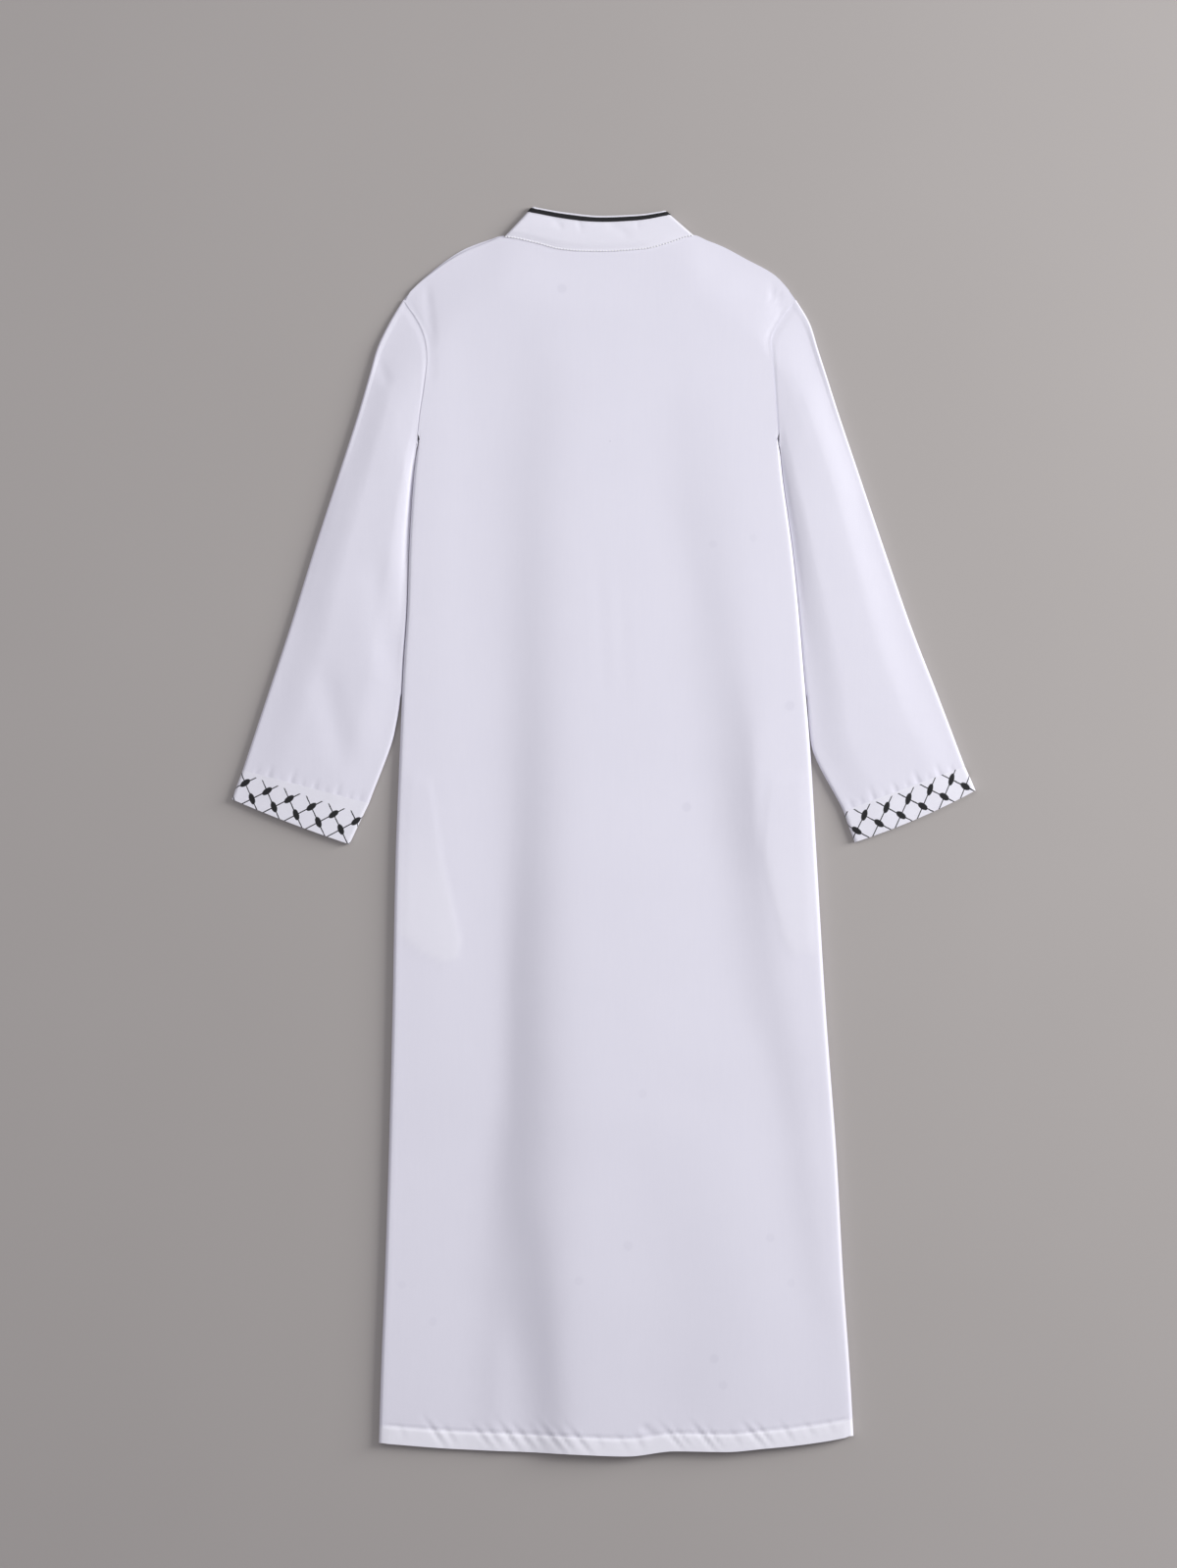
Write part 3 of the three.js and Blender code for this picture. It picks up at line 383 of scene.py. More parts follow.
def cloth_piece(name, grid, wall, ring=False):
    """A closed thin sheet from a grid of points on its outer face: rows along it, columns across.
    Its own map "cut" gives the distance across and along the cloth in metres."""
    rows, cols = grid.shape[:2]
    out = outwards(grid, ring)
    inner = grid - out * np.broadcast_to(wall, (rows, cols))[..., None]
    verts = np.concatenate([grid.reshape(-1, 3), inner.reshape(-1, 3)])
    base = rows * cols
    spans = cols if ring else cols - 1
    i, j = np.meshgrid(np.arange(rows - 1), np.arange(spans), indexing="ij")
    i, j = i.ravel(), j.ravel()
    a, b = i * cols + j, i * cols + (j + 1) % cols
    d, c = a + cols, b + cols
    outer_faces = np.stack([a, b, c, d], 1)
    inner_faces = base + outer_faces[:, ::-1]
    k = np.arange(spans)
    after = (k + 1) % cols
    last = base - cols
    edges = [(after, k), (last + k, last + after)]
    if not ring:
        k = np.arange(rows - 1) * cols
        edges += [(k, k + cols), (k + 2 * cols - 1, k + cols - 1)]
    rim = [np.stack([p, q, base + q, base + p], 1) for p, q in edges]
    faces = np.concatenate([outer_faces, inner_faces, *rim])
    mesh = bpy.data.meshes.new(name)
    mesh.from_pydata(verts.tolist(), [], faces.tolist())
    mesh.validate()
    closing = np.concatenate([grid, grid[:, :1]], 1) if ring else grid
    step_u = np.linalg.norm(np.diff(closing, axis=1), axis=2)
    step_v = np.linalg.norm(np.diff(grid, axis=0), axis=2)
    u = np.concatenate([np.zeros((rows, 1)), np.cumsum(step_u, 1)], 1)
    v = np.concatenate([np.zeros((1, cols)), np.cumsum(step_v, 0)], 0)
    v = np.concatenate([v, v[:, :1]], 1) if ring else v
    uv = np.zeros((len(faces), 4, 2))
    corner = ((i, j), (i, j + 1), (i + 1, j + 1), (i + 1, j))
    for n, (ci, cj) in enumerate(corner):
        uv[:len(i), n] = np.stack([u[ci, cj], v[ci, cj]], 1)
        uv[len(i):2 * len(i), 3 - n] = np.stack([u[ci, cj], v[ci, cj]], 1)
    rest = faces[2 * len(i):] % base
    uv[2 * len(i):] = np.stack([u[rest // cols, rest % cols], v[rest // cols, rest % cols]], 2)
    layer = mesh.uv_layers.new(name="cut")
    layer.data.foreach_set("uv", uv.ravel())
    piece = add_object(name, mesh)
    pick(piece)
    bpy.ops.object.shade_smooth_by_angle(angle=SHARP_ANGLE)
    return piece


ROLL_TURNS = np.radians([-90, -70, -50, -30, -12, 6, 24, 42, 60, 76, 90])
UNDER_STEPS = 6
EDGE_SHARE = 0.018
OPENING_HALF = 0.012


def side_columns(up, right):
    """The wrapped side of the back panel; over the armpit the side is open and ends at the armhole."""
    across = 1.0 if right else 0.0
    sign = -1.0 if right else 1.0
    edge_x, edge_y, _ = back_point(np.full(len(up), across), up)
    roll = read(ROLL, "y", "right" if right else "left", edge_y)[:, None]
    under = np.linspace(0, 1, UNDER_STEPS, endpoint=False)[None]
    under_dx = lerp(TUCK, roll, under)
    dx = np.concatenate([under_dx, roll * (1 - np.cos(ROLL_TURNS))[None]], 1)
    dz = np.concatenate([np.zeros_like(under_dx), roll * (1 + np.sin(ROLL_TURNS))[None]], 1)
    open_dx = np.linspace(0, SIDE_NOSE, dx.shape[1])[None]
    closed = smooth((ARMPIT_Y + OPENING_HALF - edge_y) / (2 * OPENING_HALF))[:, None]
    inward = lerp(open_dx, dx, closed)
    x = edge_x[:, None] + sign * inward
    y = np.repeat(edge_y[:, None], dx.shape[1], 1)
    top_x, top_y = edge_place(TOP_EDGE, np.full(x.shape, across))
    hem_y = edge_place(HEM_EDGE, np.full(x.shape, across))[1]
    open_z = body_high(edge_x[:, None] + sign * open_dx, y, top_x, top_y, hem_y)
    z = lerp(open_z, dz, closed)
    cols = np.stack([x, y, z], 2)
    return cols[:, ::-1] if right else cols


# Rows lie closer together near the hem; lengths are measured up the side from the hem.
BACK_LONG = 1.331
HEM_WALL_STEP = 0.002
HEM_ROWS_END = 0.045
hem_rows = np.linspace(0, HEM_ROWS_END, 26)
body_rows = np.linspace(HEM_ROWS_END, BACK_LONG, 190)[1:]
back_up = np.concatenate([hem_rows, body_rows]) / BACK_LONG
neck_span = TOP_EDGE["x"][-1] - TOP_EDGE["x"][0]
neck_l = (NECK_LEFT_X - TOP_EDGE["x"][0]) / neck_span
neck_r = (NECK_RIGHT_X - TOP_EDGE["x"][0]) / neck_span
inside = np.concatenate([
    np.linspace(EDGE_SHARE, neck_l, 40, endpoint=False),
    np.linspace(neck_l, neck_r, 74, endpoint=False),
    np.linspace(neck_r, 1 - EDGE_SHARE, 41),
])
across_grid, up_grid = np.meshgrid(inside, back_up)
back_inside = np.stack(back_point(across_grid, up_grid), 2)
back_grid = np.concatenate([side_columns(back_up, False), back_inside, side_columns(back_up, True)], 1)
back_grid[..., 2] += ground
hem_share = smooth((HEM_DEEP + HEM_WALL_STEP / 2 - back_up * BACK_LONG) / HEM_WALL_STEP)
hem_wall = lerp(CLOTH, HEM_WALL, hem_share)[:, None]
back = cloth_piece("robe_back", back_grid, hem_wall)
back_hem_y = read(HEM_EDGE, "x", "y", back_grid[..., 0])
back_layers = layers_below(back_grid[..., 0], back_grid[..., 1], back_hem_y).ravel()
layer = back.data.attributes.new("layers", "FLOAT", "POINT")
layer.data.foreach_set("value", np.concatenate([back_layers, back_layers]))


class Thread:
    """A socket of a finish's nodes, so that its values can be added and scaled as numbers."""

    def __init__(self, finish, socket):
        self.finish = finish
        self.socket = socket

    def math(self, operation, *others):
        values = dict(enumerate((self, *others)))
        return self.finish.node("ShaderNodeMath", {"operation": operation}, values)

    def __add__(self, other):
        return self.math("ADD", other)

    def __sub__(self, other):
        return self.math("SUBTRACT", other)

    def __rsub__(self, other):
        return self.math("MULTIPLY_ADD", -1.0, other)

    def __mul__(self, other):
        return self.math("MULTIPLY", other)

    def __truediv__(self, other):
        return self.math("DIVIDE", other)

    __radd__ = __add__
    __rmul__ = __mul__


class Finish:
    """A material built node by node."""

    def __init__(self, name):
        self.material = bpy.data.materials.new(name)
        self.material.use_nodes = True
        self.tree = self.material.node_tree
        self.tree.nodes.clear()

    def node(self, kind, settings=None, inputs=None, output=0):
        made = self.tree.nodes.new(kind)
        for key, value in (settings or {}).items():
            setattr(made, key, value)
        for key, value in (inputs or {}).items():
            if isinstance(value, Thread):
                self.tree.links.new(value.socket, made.inputs[key])
            else:
                made.inputs[key].default_value = value
        return Thread(self, made.outputs[output]) if made.outputs else None

    def noise(self, place, scale, detail, roughness=0.5):
        return self.node("ShaderNodeTexNoise", None, {
            "Vector": place, "Scale": scale, "Detail": detail, "Roughness": roughness})

    def cut_map(self):
        """The piece's own map, and the distances across and along that it gives."""
        cut = self.node("ShaderNodeUVMap", {"uv_map": "cut"})
        return cut, *(self.node("ShaderNodeSeparateXYZ", None, {0: cut}, axis) for axis in "XY")

    def bump(self, strength, distance, height):
        return self.node("ShaderNodeBump", None, {
            "Strength": strength, "Distance": distance, "Height": height})

    def blend(self, share, first, second):
        """One colour turning into a second as the share goes from 0 to 1."""
        return self.node("ShaderNodeMix", {"data_type": "RGBA"}, {0: share, 6: first, 7: second}, 2)

    def surface(self, values):
        shader = self.node("ShaderNodeBsdfPrincipled", None, values)
        self.node("ShaderNodeOutputMaterial", None, {"Surface": shader})
        return self

    def on(self, piece):
        piece.data.materials.clear()
        piece.data.materials.append(self.material)


# Faint round marks on the back: where, how wide and how much darker.
MARKS = (
    (-0.0485, 0.631, 0.0062, 0.05), (0.1271, 0.3335, 0.0052, 0.03), (0.1739, 0.3403, 0.005, 0.026),
    (0.216, 0.1454, 0.0064, 0.05), (0.0963, 0.0279, 0.006, 0.048), (0.045, -0.305, 0.0056, 0.026),
    (0.0279, -0.4817, 0.0062, 0.036), (0.1932, -0.4725, 0.0058, 0.036), (0.2172, -0.525, 0.0054, 0.028),
    (-0.0291, -0.5216, 0.0058, 0.032), (0.1283, -0.6128, 0.006, 0.042), (0.1385, -0.6435, 0.0056, 0.04),
    (-0.1989, -0.5705, 0.0056, 0.028), (-0.2343, -0.5273, 0.0052, 0.026), (0.0074, 0.4532, 0.0011, 0.22),
)
THREAD_PITCH = 0.00042
CLOTH_WHITE = (0.792, 0.78, 0.868, 1.0)
CLOTH_SHADE = (0.7, 0.688, 0.78, 1.0)
CLOTH_DOUBLED = (0.858, 0.85, 0.915, 1.0)
CLOTH_ROUGH = 0.58


def weave_height(finish, pitch):
    """Plain weave on the piece's own map: threads that pass over and under each other."""
    _, u, v = finish.cut_map()
    turn = 2 * math.pi / pitch
    return (u * turn).math("SINE") * (v * turn).math("SINE")


def robe_cloth(name, marks=(), doubled=0.0):
    """Thin smooth white cloth with a lavender cast, a soft sheen, fine slubs and a few faint marks."""
    finish = Finish(name)
    place = finish.node("ShaderNodeTexCoord", None, None, "Object")
    slub_place = finish.node("ShaderNodeMapping", None, {0: place, "Scale": (420.0, 26.0, 60.0)})
    slubs = finish.noise(slub_place, 1.0, 3.0, 0.6)
    cloud = finish.noise(place, 9.0, 2.0)
    tone = (slubs - 0.5) * 0.22 + (cloud - 0.5) * 0.3 + 0.16
    for x, y, radius, dark in marks:
        away = finish.node("ShaderNodeVectorMath", {"operation": "MULTIPLY"}, {0: place, 1: (1.0, 1.0, 0.0)})
        far = finish.node("ShaderNodeVectorMath", {"operation": "DISTANCE"},
                          {0: away, 1: (x, y, 0.0)}, "Value")
        soft = finish.node("ShaderNodeMapRange", {"interpolation_type": "SMOOTHSTEP"},
                           {0: far, 1: radius * 0.55, 2: radius * 1.2, 3: dark * 9, 4: 0.0})
        tone = tone + soft
    colour = finish.blend(tone, CLOTH_WHITE, CLOTH_SHADE)
    layers = finish.node("ShaderNodeAttribute", {"attribute_name": "layers"}, None, "Fac")
    colour = finish.blend(layers * 0.9 + doubled, colour, CLOTH_DOUBLED)
    rough = (slubs - 0.5) * 0.1 + CLOTH_ROUGH
    height = weave_height(finish, THREAD_PITCH) * 0.5 + slubs * 0.5
    return finish.surface({
        "Base Color": colour, "Roughness": rough, "Normal": finish.bump(0.35, 0.00012, height),
        "Sheen Weight": 0.18, "Sheen Roughness": 0.4, "Specular IOR Level": 0.35,
    })


back_cloth = robe_cloth("marked_white_cloth", MARKS)
back_cloth.on(back)
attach(back, "root")
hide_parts("back_panel")


# The hem's row of stitches: one small stitch, modelled once and copied along the fold's top.
def one_stitch(long, thick):
    """The points and faces of one stitch, a thread dipping into the cloth at both ends, along X."""
    bpy.ops.object.select_all(action="DESELECT")
    bpy.ops.mesh.primitive_uv_sphere_add(segments=8, ring_count=6, radius=1.0)
    ball = bpy.context.active_object
    bpy.ops.object.mode_set(mode="EDIT")
    bpy.ops.mesh.select_all(action="SELECT")
    bpy.ops.transform.resize(value=(long / 2, thick, thick))
    bpy.ops.object.mode_set(mode="OBJECT")
    points = np.array([v.co[:] for v in ball.data.vertices])
    points[:, 2] -= thick * 1.1 * (points[:, 0] / (long / 2)) ** 4
    faces = [tuple(f.vertices) for f in ball.data.polygons]
    bpy.data.meshes.remove(ball.data)
    return points, faces


def stitch_row(name, path, long, gap, finish, thick):
    """Stitches end to end along a path of points."""
    points, faces = one_stitch(long, thick)
    steps = np.linalg.norm(np.diff(path, axis=0), axis=1)
    run = np.concatenate([[0], np.cumsum(steps)])
    count = int(run[-1] / (long + gap))
    all_points, all_faces = [], []
    for n in range(count):
        middle = (n + 0.5) * (long + gap)
        at = np.array([np.interp(middle, run, path[:, k]) for k in range(3)])
        ahead = np.array([np.interp(middle + long / 2, run, path[:, k]) for k in range(3)])
        forward = (ahead - at) / max(np.linalg.norm(ahead - at), 1e-9)
        side = np.cross((0, 0, 1), forward)
        side /= np.linalg.norm(side)
        up = np.cross(forward, side)
        start = n * len(points)
        all_points.append(at + points @ np.stack([forward, side, up]))
        all_faces += [tuple(start + v for v in f) for f in faces]
    mesh = bpy.data.meshes.new(name)
    mesh.from_pydata(np.concatenate(all_points).tolist(), [], all_faces)
    mesh.shade_smooth()
    row = add_object(name, mesh)
    finish.on(row)
    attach(row, "root")
    return row


def thread_finish(name, colour):
    """Sewing thread, darker by a fifth in its twists."""
    finish = Finish(name)
    place = finish.node("ShaderNodeTexCoord", None, None, "Object")
    twist = finish.noise(place, 2600.0, 1.0)
    shade = tuple(0.8 * c for c in colour[:3]) + (1.0,)
    return finish.surface({"Base Color": finish.blend(twist, colour, shade), "Roughness": twist * 0.2 + 0.5})


white_thread = thread_finish("white_thread", (0.86, 0.86, 0.89, 1.0))
stitch_across = np.linspace(0.008, 0.992, 400)
stitch_up = np.full(len(stitch_across), HEM_DEEP / BACK_LONG)
hem_path = np.stack(back_point(stitch_across, stitch_up), 1) + (0, 0, ground + 0.00005)
hem_stitches = stitch_row("hem_stitches", hem_path, long=0.0026, gap=0.0006, finish=white_thread,
                          thick=0.0003)


# ---- Front panel ----
# The same cloth, lying flat underneath against the ground. It is cut away for the neck, slit down the
# middle for the placket, and sewn to the back at the shoulders and along both sides.

SEAM = 0.0004
FRONT_NECK_DROP = 0.076
FRONT_NECK_Y = 0.693
PEEK_LEFT = 0.0036
PEEK_RIGHT = 0.0006
SLIT_X = -0.005
SLIT_WIDE = 0.03
SLIT_LONG = 0.33
FRONT_HEM_Y = -0.71
SIDE_SEAM_TOP = ARMPIT_Y - 0.009
ARMHOLE_FOOT = ARMPIT_Y + 0.004
SHOULDER_STEPS = 16
slit_foot = FRONT_NECK_Y - FRONT_NECK_DROP - SLIT_LONG


def front_neck(x):
    half = (NECK_RIGHT_X - NECK_LEFT_X) / 2
    off = (x - (NECK_RIGHT_X + NECK_LEFT_X) / 2) / half
    return FRONT_NECK_Y - FRONT_NECK_DROP * np.sqrt(np.clip(1 - off * off, 0, 1))


def front_outline():
    """The front's edge all round, anticlockwise from the right end of its hem."""
    low_y = np.linspace(FRONT_HEM_Y, SIDE_SEAM_TOP, 60)
    high_y = np.linspace(ARMHOLE_FOOT, SHOULDER_Y, 40)
    right_side = np.concatenate([
        np.stack([body_right(low_y) - TUCK - SEAM, low_y], 1),
        np.stack([body_right(high_y) - SEAM, high_y], 1)])
    left_side = np.concatenate([
        np.stack([body_left(low_y) + TUCK + SEAM, low_y], 1),
        np.stack([body_left(high_y) + SEAM, high_y], 1)])[::-1]
    shoulder_r = np.linspace(TOP_EDGE["x"][-2], NECK_RIGHT_X, SHOULDER_STEPS)
    shoulder_r = np.stack([shoulder_r, read(TOP_EDGE, "x", "y", shoulder_r) + PEEK_RIGHT], 1)
    shoulder_l = np.linspace(NECK_LEFT_X, TOP_EDGE["x"][1], SHOULDER_STEPS)
    peek = PEEK_LEFT * np.sin(np.linspace(0.15, 1, SHOULDER_STEPS) * math.pi)
    shoulder_l = np.stack([shoulder_l, read(TOP_EDGE, "x", "y", shoulder_l) + peek], 1)
    turn = np.linspace(0, math.pi, 50)[1:-1]
    middle, half = (NECK_RIGHT_X + NECK_LEFT_X) / 2, (NECK_RIGHT_X - NECK_LEFT_X) / 2
    neck_x = middle + half * np.cos(turn)
    neck = np.stack([neck_x, front_neck(neck_x)], 1)
    right_edge, left_edge = SLIT_X + SLIT_WIDE / 2, SLIT_X - SLIT_WIDE / 2
    notch = [(right_edge, float(front_neck(right_edge))), (right_edge, slit_foot), (left_edge, slit_foot),
             (left_edge, float(front_neck(left_edge)))]
    neck_right, neck_left = neck[neck[:, 0] > right_edge], neck[neck[:, 0] < left_edge]
    return np.concatenate([right_side, shoulder_r, neck_right, notch, neck_left, shoulder_l, left_side])


def flat_piece(name, outline, low, thick, steps=0.02):
    """A flat piece cut to an outline, crossed by straight cuts every `steps` up its length."""
    mesh = bpy.data.meshes.new(name)
    mesh.from_pydata([(x, y, low + ground) for x, y in outline], [], [list(range(len(outline)))])
    piece = add_object(name, mesh)
    pick(piece)
    bpy.ops.object.mode_set(mode="EDIT")
    y = min(p[1] for p in outline) + steps
    while y < max(p[1] for p in outline) - steps / 2:
        bpy.ops.mesh.select_all(action="SELECT")
        bpy.ops.mesh.bisect(plane_co=(0, y, 0), plane_no=(0, 1, 0))
        y += steps
    bpy.ops.mesh.select_all(action="SELECT")
    bpy.ops.mesh.normals_make_consistent(inside=False)
    bpy.ops.mesh.extrude_region_move(TRANSFORM_OT_translate={"value": (0, 0, thick)})
    bpy.ops.mesh.select_all(action="SELECT")
    bpy.ops.mesh.normals_make_consistent(inside=False)
    bpy.ops.object.mode_set(mode="OBJECT")
    layer = piece.data.uv_layers.new(name="cut")
    for loop in piece.data.loops:
        co = piece.data.vertices[loop.vertex_index].co
        layer.data[loop.index].uv = (co.x + 1, co.y + 1)
    return piece


front = flat_piece("robe_front", front_outline(), 0.0, CLOTH)
plain_cloth = robe_cloth("white_cloth")
plain_cloth.on(front)
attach(front, "root")
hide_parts("front_panel")


# ---- Front placket ----
# Two narrow strips of the same cloth down the front slit, one over the other, sewn to its edges and
# meeting the collar at the neck. They are hidden underneath and plain.

PLACKET_CLEAR = 0.0015
UNDER_LEFT = 0.02
UNDER_RIGHT = 0.017
UNDER_FOOT = 0.012
UNDER_TOP_DROP = 0.002
UNDER_LOW = 0.0016


def strip(name, node, x0, x1, y0, y1, low):
    piece = flat_piece(name, np.array([(x0, y0), (x1, y0), (x1, y1), (x0, y1)]), low, CLOTH)
    plain_cloth.on(piece)
    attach(piece, "root")
    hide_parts(node)
    return piece


neck_foot = float(front_neck(SLIT_X)) - PLACKET_CLEAR
placket_over = strip("placket_over_strip", "placket_over", SLIT_X - SLIT_WIDE / 2 + SEAM,
                     SLIT_X + SLIT_WIDE / 2 - SEAM, slit_foot + SEAM, neck_foot, 0.0)
placket_under = strip("placket_under_strip", "placket_under", SLIT_X - UNDER_LEFT, SLIT_X + UNDER_RIGHT,
                      slit_foot - UNDER_FOOT, neck_foot - UNDER_TOP_DROP, UNDER_LOW)


# ---- Pocket bags ----
# A bag of plain pocketing sewn into each side seam, lying inside between front and back. Only its
# outline shows, pressing up through the back.

def pocketing():
    finish = Finish("pocketing")
    place = finish.node("ShaderNodeTexCoord", None, None, "Object")
    slub = finish.noise(place, 700.0, 2.0)
    tone = finish.blend(slub, (0.76, 0.75, 0.8, 1.0), (0.68, 0.67, 0.72, 1.0))
    bump = finish.bump(0.3, 0.0002, weave_height(finish, 0.0006))
    return finish.surface({"Base Color": tone, "Roughness": slub * 0.1 + 0.75, "Normal": bump})


pocket_cloth = pocketing()
BAG_LOW = 0.0015
BAG_THICK = 0.0013
BAG_EDGE_LEFT = -0.234
BAG_EDGE_RIGHT = 0.236
for bag_name, node, corners in (("pocket_bag_l", "pocket_bag_left", BAG_LEFT),
                                ("pocket_bag_r", "pocket_bag_right", BAG_RIGHT)):
    inner = [(min(max(x, BAG_EDGE_LEFT), BAG_EDGE_RIGHT), y) for x, y in corners]
    bag = flat_piece(bag_name, np.array(inner), BAG_LOW, BAG_THICK)
    pocket_cloth.on(bag)
    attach(bag, "root")
    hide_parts(node)


# ---- Sleeves ----
# One panel each, folded lengthwise and closed by a seam, set into the armhole. They lie flat beside
# the body, the body's rolled side against them, with long soft creases towards the cuff.

SLEEVE_LEFT = {
    "t": list(range(10)),
    "out_x": [-0.2336, -0.2502, -0.2639, -0.2719, -0.2844, -0.3072, -0.3369, -0.3654, -0.3916, -0.4201],
    "out_y": [0.618, 0.59, 0.561, 0.533, 0.49, 0.419, 0.328, 0.236, 0.157, 0.071],
    "in_x": [-0.2183, -0.2195, -0.2223, -0.2252, -0.2274, -0.2289, -0.2328, -0.2359, -0.2434, -0.273],
    "in_y": [0.447, 0.43, 0.402, 0.373, 0.341, 0.282, 0.219, 0.16, 0.114, 0.0323],
    "nose": [0.0017, 0.0023, 0.0028, 0.0031, 0.0032, 0.0032, 0.0032, 0.0032, 0.0032, 0.0034],
    "high": [0.009, 0.0095, 0.01, 0.0104, 0.0104, 0.0102, 0.01, 0.0097, 0.0094, 0.0084],
    "bow": [1.0, 0.72, 0.5, 0.34, 0.2, 0.08, 0.0, 0.0, 0.0, 0.0],
    "cleft": [0.0, 0.0014, 0.0036, 0.004, 0.0034, 0.001, 0.0, 0.0, 0.0, 0.0],
}
SLEEVE_RIGHT = {
    "t": list(range(10)),
    "out_x": [0.224, 0.24, 0.2491, 0.2582, 0.2719, 0.2958, 0.3266, 0.3585, 0.3893, 0.4201],
    "out_y": [0.618, 0.59, 0.561, 0.533, 0.49, 0.419, 0.328, 0.236, 0.157, 0.0755],
    "in_x": [0.2059, 0.2076, 0.2107, 0.2145, 0.2188, 0.2251, 0.231, 0.2362, 0.241, 0.2787],
    "in_y": [0.447, 0.43, 0.402, 0.373, 0.341, 0.282, 0.219, 0.16, 0.103, 0.0232],
    "nose": SLEEVE_LEFT["nose"],
    "high": SLEEVE_LEFT["high"],
    "bow": SLEEVE_LEFT["bow"],
    "cleft": [0.0, 0.0008, 0.0014, 0.0018, 0.0018, 0.0012, 0.0004, 0.0, 0.0, 0.0],
}
LEFT_CREASES = (
    (-0.264, 0.316, -0.2537, 0.19, 0.017, 0.0013),
    (-0.3278, 0.19, -0.2993, 0.0735, 0.017, 0.0013),
    (-0.2616, 0.549, -0.2514, 0.518, 0.007, 0.0005),
    (-0.295, 0.42, -0.335, 0.24, 0.024, -0.0009),
)
RIGHT_CREASES = (
    (0.2833, 0.387, 0.3015, 0.316, 0.016, 0.0004),
    (0.3015, 0.33, 0.3335, 0.215, 0.016, 0.0004),
    (0.3335, 0.23, 0.3688, 0.115, 0.017, 0.0005),
    (0.26, 0.47, 0.28, 0.38, 0.022, -0.0003),
)
# Puckers above the cuff seam: place along it from the outer end, length, half width and depth.
CUFF_PUCKERS = (
    (0.016, 0.014, 0.0016, 0.0006), (0.031, 0.02, 0.002, 0.0009), (0.044, 0.012, 0.0015, 0.0005),
    (0.058, 0.022, 0.0022, 0.001), (0.071, 0.014, 0.0016, 0.0006), (0.086, 0.018, 0.002, 0.0008),
    (0.099, 0.012, 0.0015, 0.0005), (0.113, 0.02, 0.0021, 0.0009), (0.128, 0.014, 0.0016, 0.0006),
    (0.14, 0.016, 0.0018, 0.0007),
)
RING_NOSE = np.radians([-90, -68, -46, -23, 0, 23, 46, 68, 90])
RING_TOP = 56
RING_UNDER = 14
ARMHOLE_GAP = 0.0001
SLEEVE_RISE = 0.048
CLEFT_WIDE = 0.011
# Creases fade out towards a sleeve's folded sides, puckers run up from the cuff by their length, and the
# sleeve's edge sinks a little where it meets the armhole.
FOLD_SOFT = 0.012
LAST_SECTION_LONG = 0.094
ARMHOLE_SINK = 0.0006


def ring_grid(table, ts, right, creases=(), puckers=False):
    """Rings through a sleeve's sections: under the outer fold, over the top and back underneath."""
    edge = body_right if right else body_left
    sign = 1.0 if right else -1.0
    rows = []
    for t in ts:
        row = {k: float(read(table, "t", k, t)) for k in table if k != "t"}
        bow = row.get("bow", 0.0)
        gap = sign * lerp(SIDE_CLEAR, ARMHOLE_GAP, bow ** 4)
        touching = "bow" in table and t <= 7
        in_x = float(edge(row["in_y"])) + gap if touching else row["in_x"]
        wide = math.hypot(in_x - row["out_x"], row["in_y"] - row["out_y"])
        nose = row["nose"]
        full_nose = lerp(nose, SIDE_NOSE, bow)
        cleft = row.get("cleft", 0.0)
        in_nose = full_nose - cleft / 2
        top = np.linspace(nose, wide - in_nose, RING_TOP + 1)[1:-1]
        under = np.linspace(wide - in_nose, nose, RING_UNDER + 1)[1:-1]
        mm = np.concatenate([nose * (1 - np.cos(RING_NOSE)), top,
                             wide - in_nose * (1 - np.cos(RING_NOSE[::-1])), under])
        s = mm / wide
        x = lerp(row["out_x"], in_x, s)
        y = lerp(row["out_y"], row["in_y"], s)
        hole_y = lerp(SHOULDER_Y, ARMPIT_Y, s)
        chord = lerp(edge(SHOULDER_Y), edge(ARMPIT_Y), s)
        x = x + bow * (edge(hole_y) - chord + gap * (1 - s))
        sag = 4 * row.get("sag", 0.0) * s * (1 - s) * sign / wide
        x, y = x + sag * (row["out_y"] - row["in_y"]), y + sag * (in_x - row["out_x"])
        rim = lerp(2 * nose, 2 * full_nose, np.clip((mm - nose) / (wide - nose - in_nose), 0, 1))
        rise = smooth(mm / SLEEVE_RISE) * smooth((wide - mm) / SLEEVE_RISE)
        own = lerp(rim, row["high"], rise)
        hole = lerp(SHOULDER_HIGH, 2 * SIDE_NOSE, smooth(s * (SHOULDER_Y - ARMPIT_Y) / SHOULDER_RISE))
        z = lerp(own, hole, bow)
        soft = smooth(mm / FOLD_SOFT) * smooth((wide - mm) / FOLD_SOFT)
        z = z + crease_rise(x, y, creases) * soft
        dip = (wide - in_nose - mm) / CLEFT_WIDE
        z = z - cleft * np.exp(-dip * dip)
        if puckers:
            left_to_go = (table["t"][-1] - t) * LAST_SECTION_LONG
            for at, long, half, deep in CUFF_PUCKERS:
                off = (mm - at) / half
                z = z - deep * soft * np.exp(-off * off) * smooth(1 - left_to_go / long)
        if bow > 0.9:
            z = z - ARMHOLE_SINK * smooth((bow - 0.9) / 0.1)
        n = len(RING_NOSE)
        z[:n] = nose * (1 + np.sin(RING_NOSE))
        m = n + len(top)
        z[m:m + n] = in_nose * (1 + np.sin(RING_NOSE[::-1]))
        z[m + n:] = 0.0
        ring = np.stack([x, y, z + ground], 1)
        rows.append(ring[::-1] if right else ring)
    return np.stack(rows[::-1])


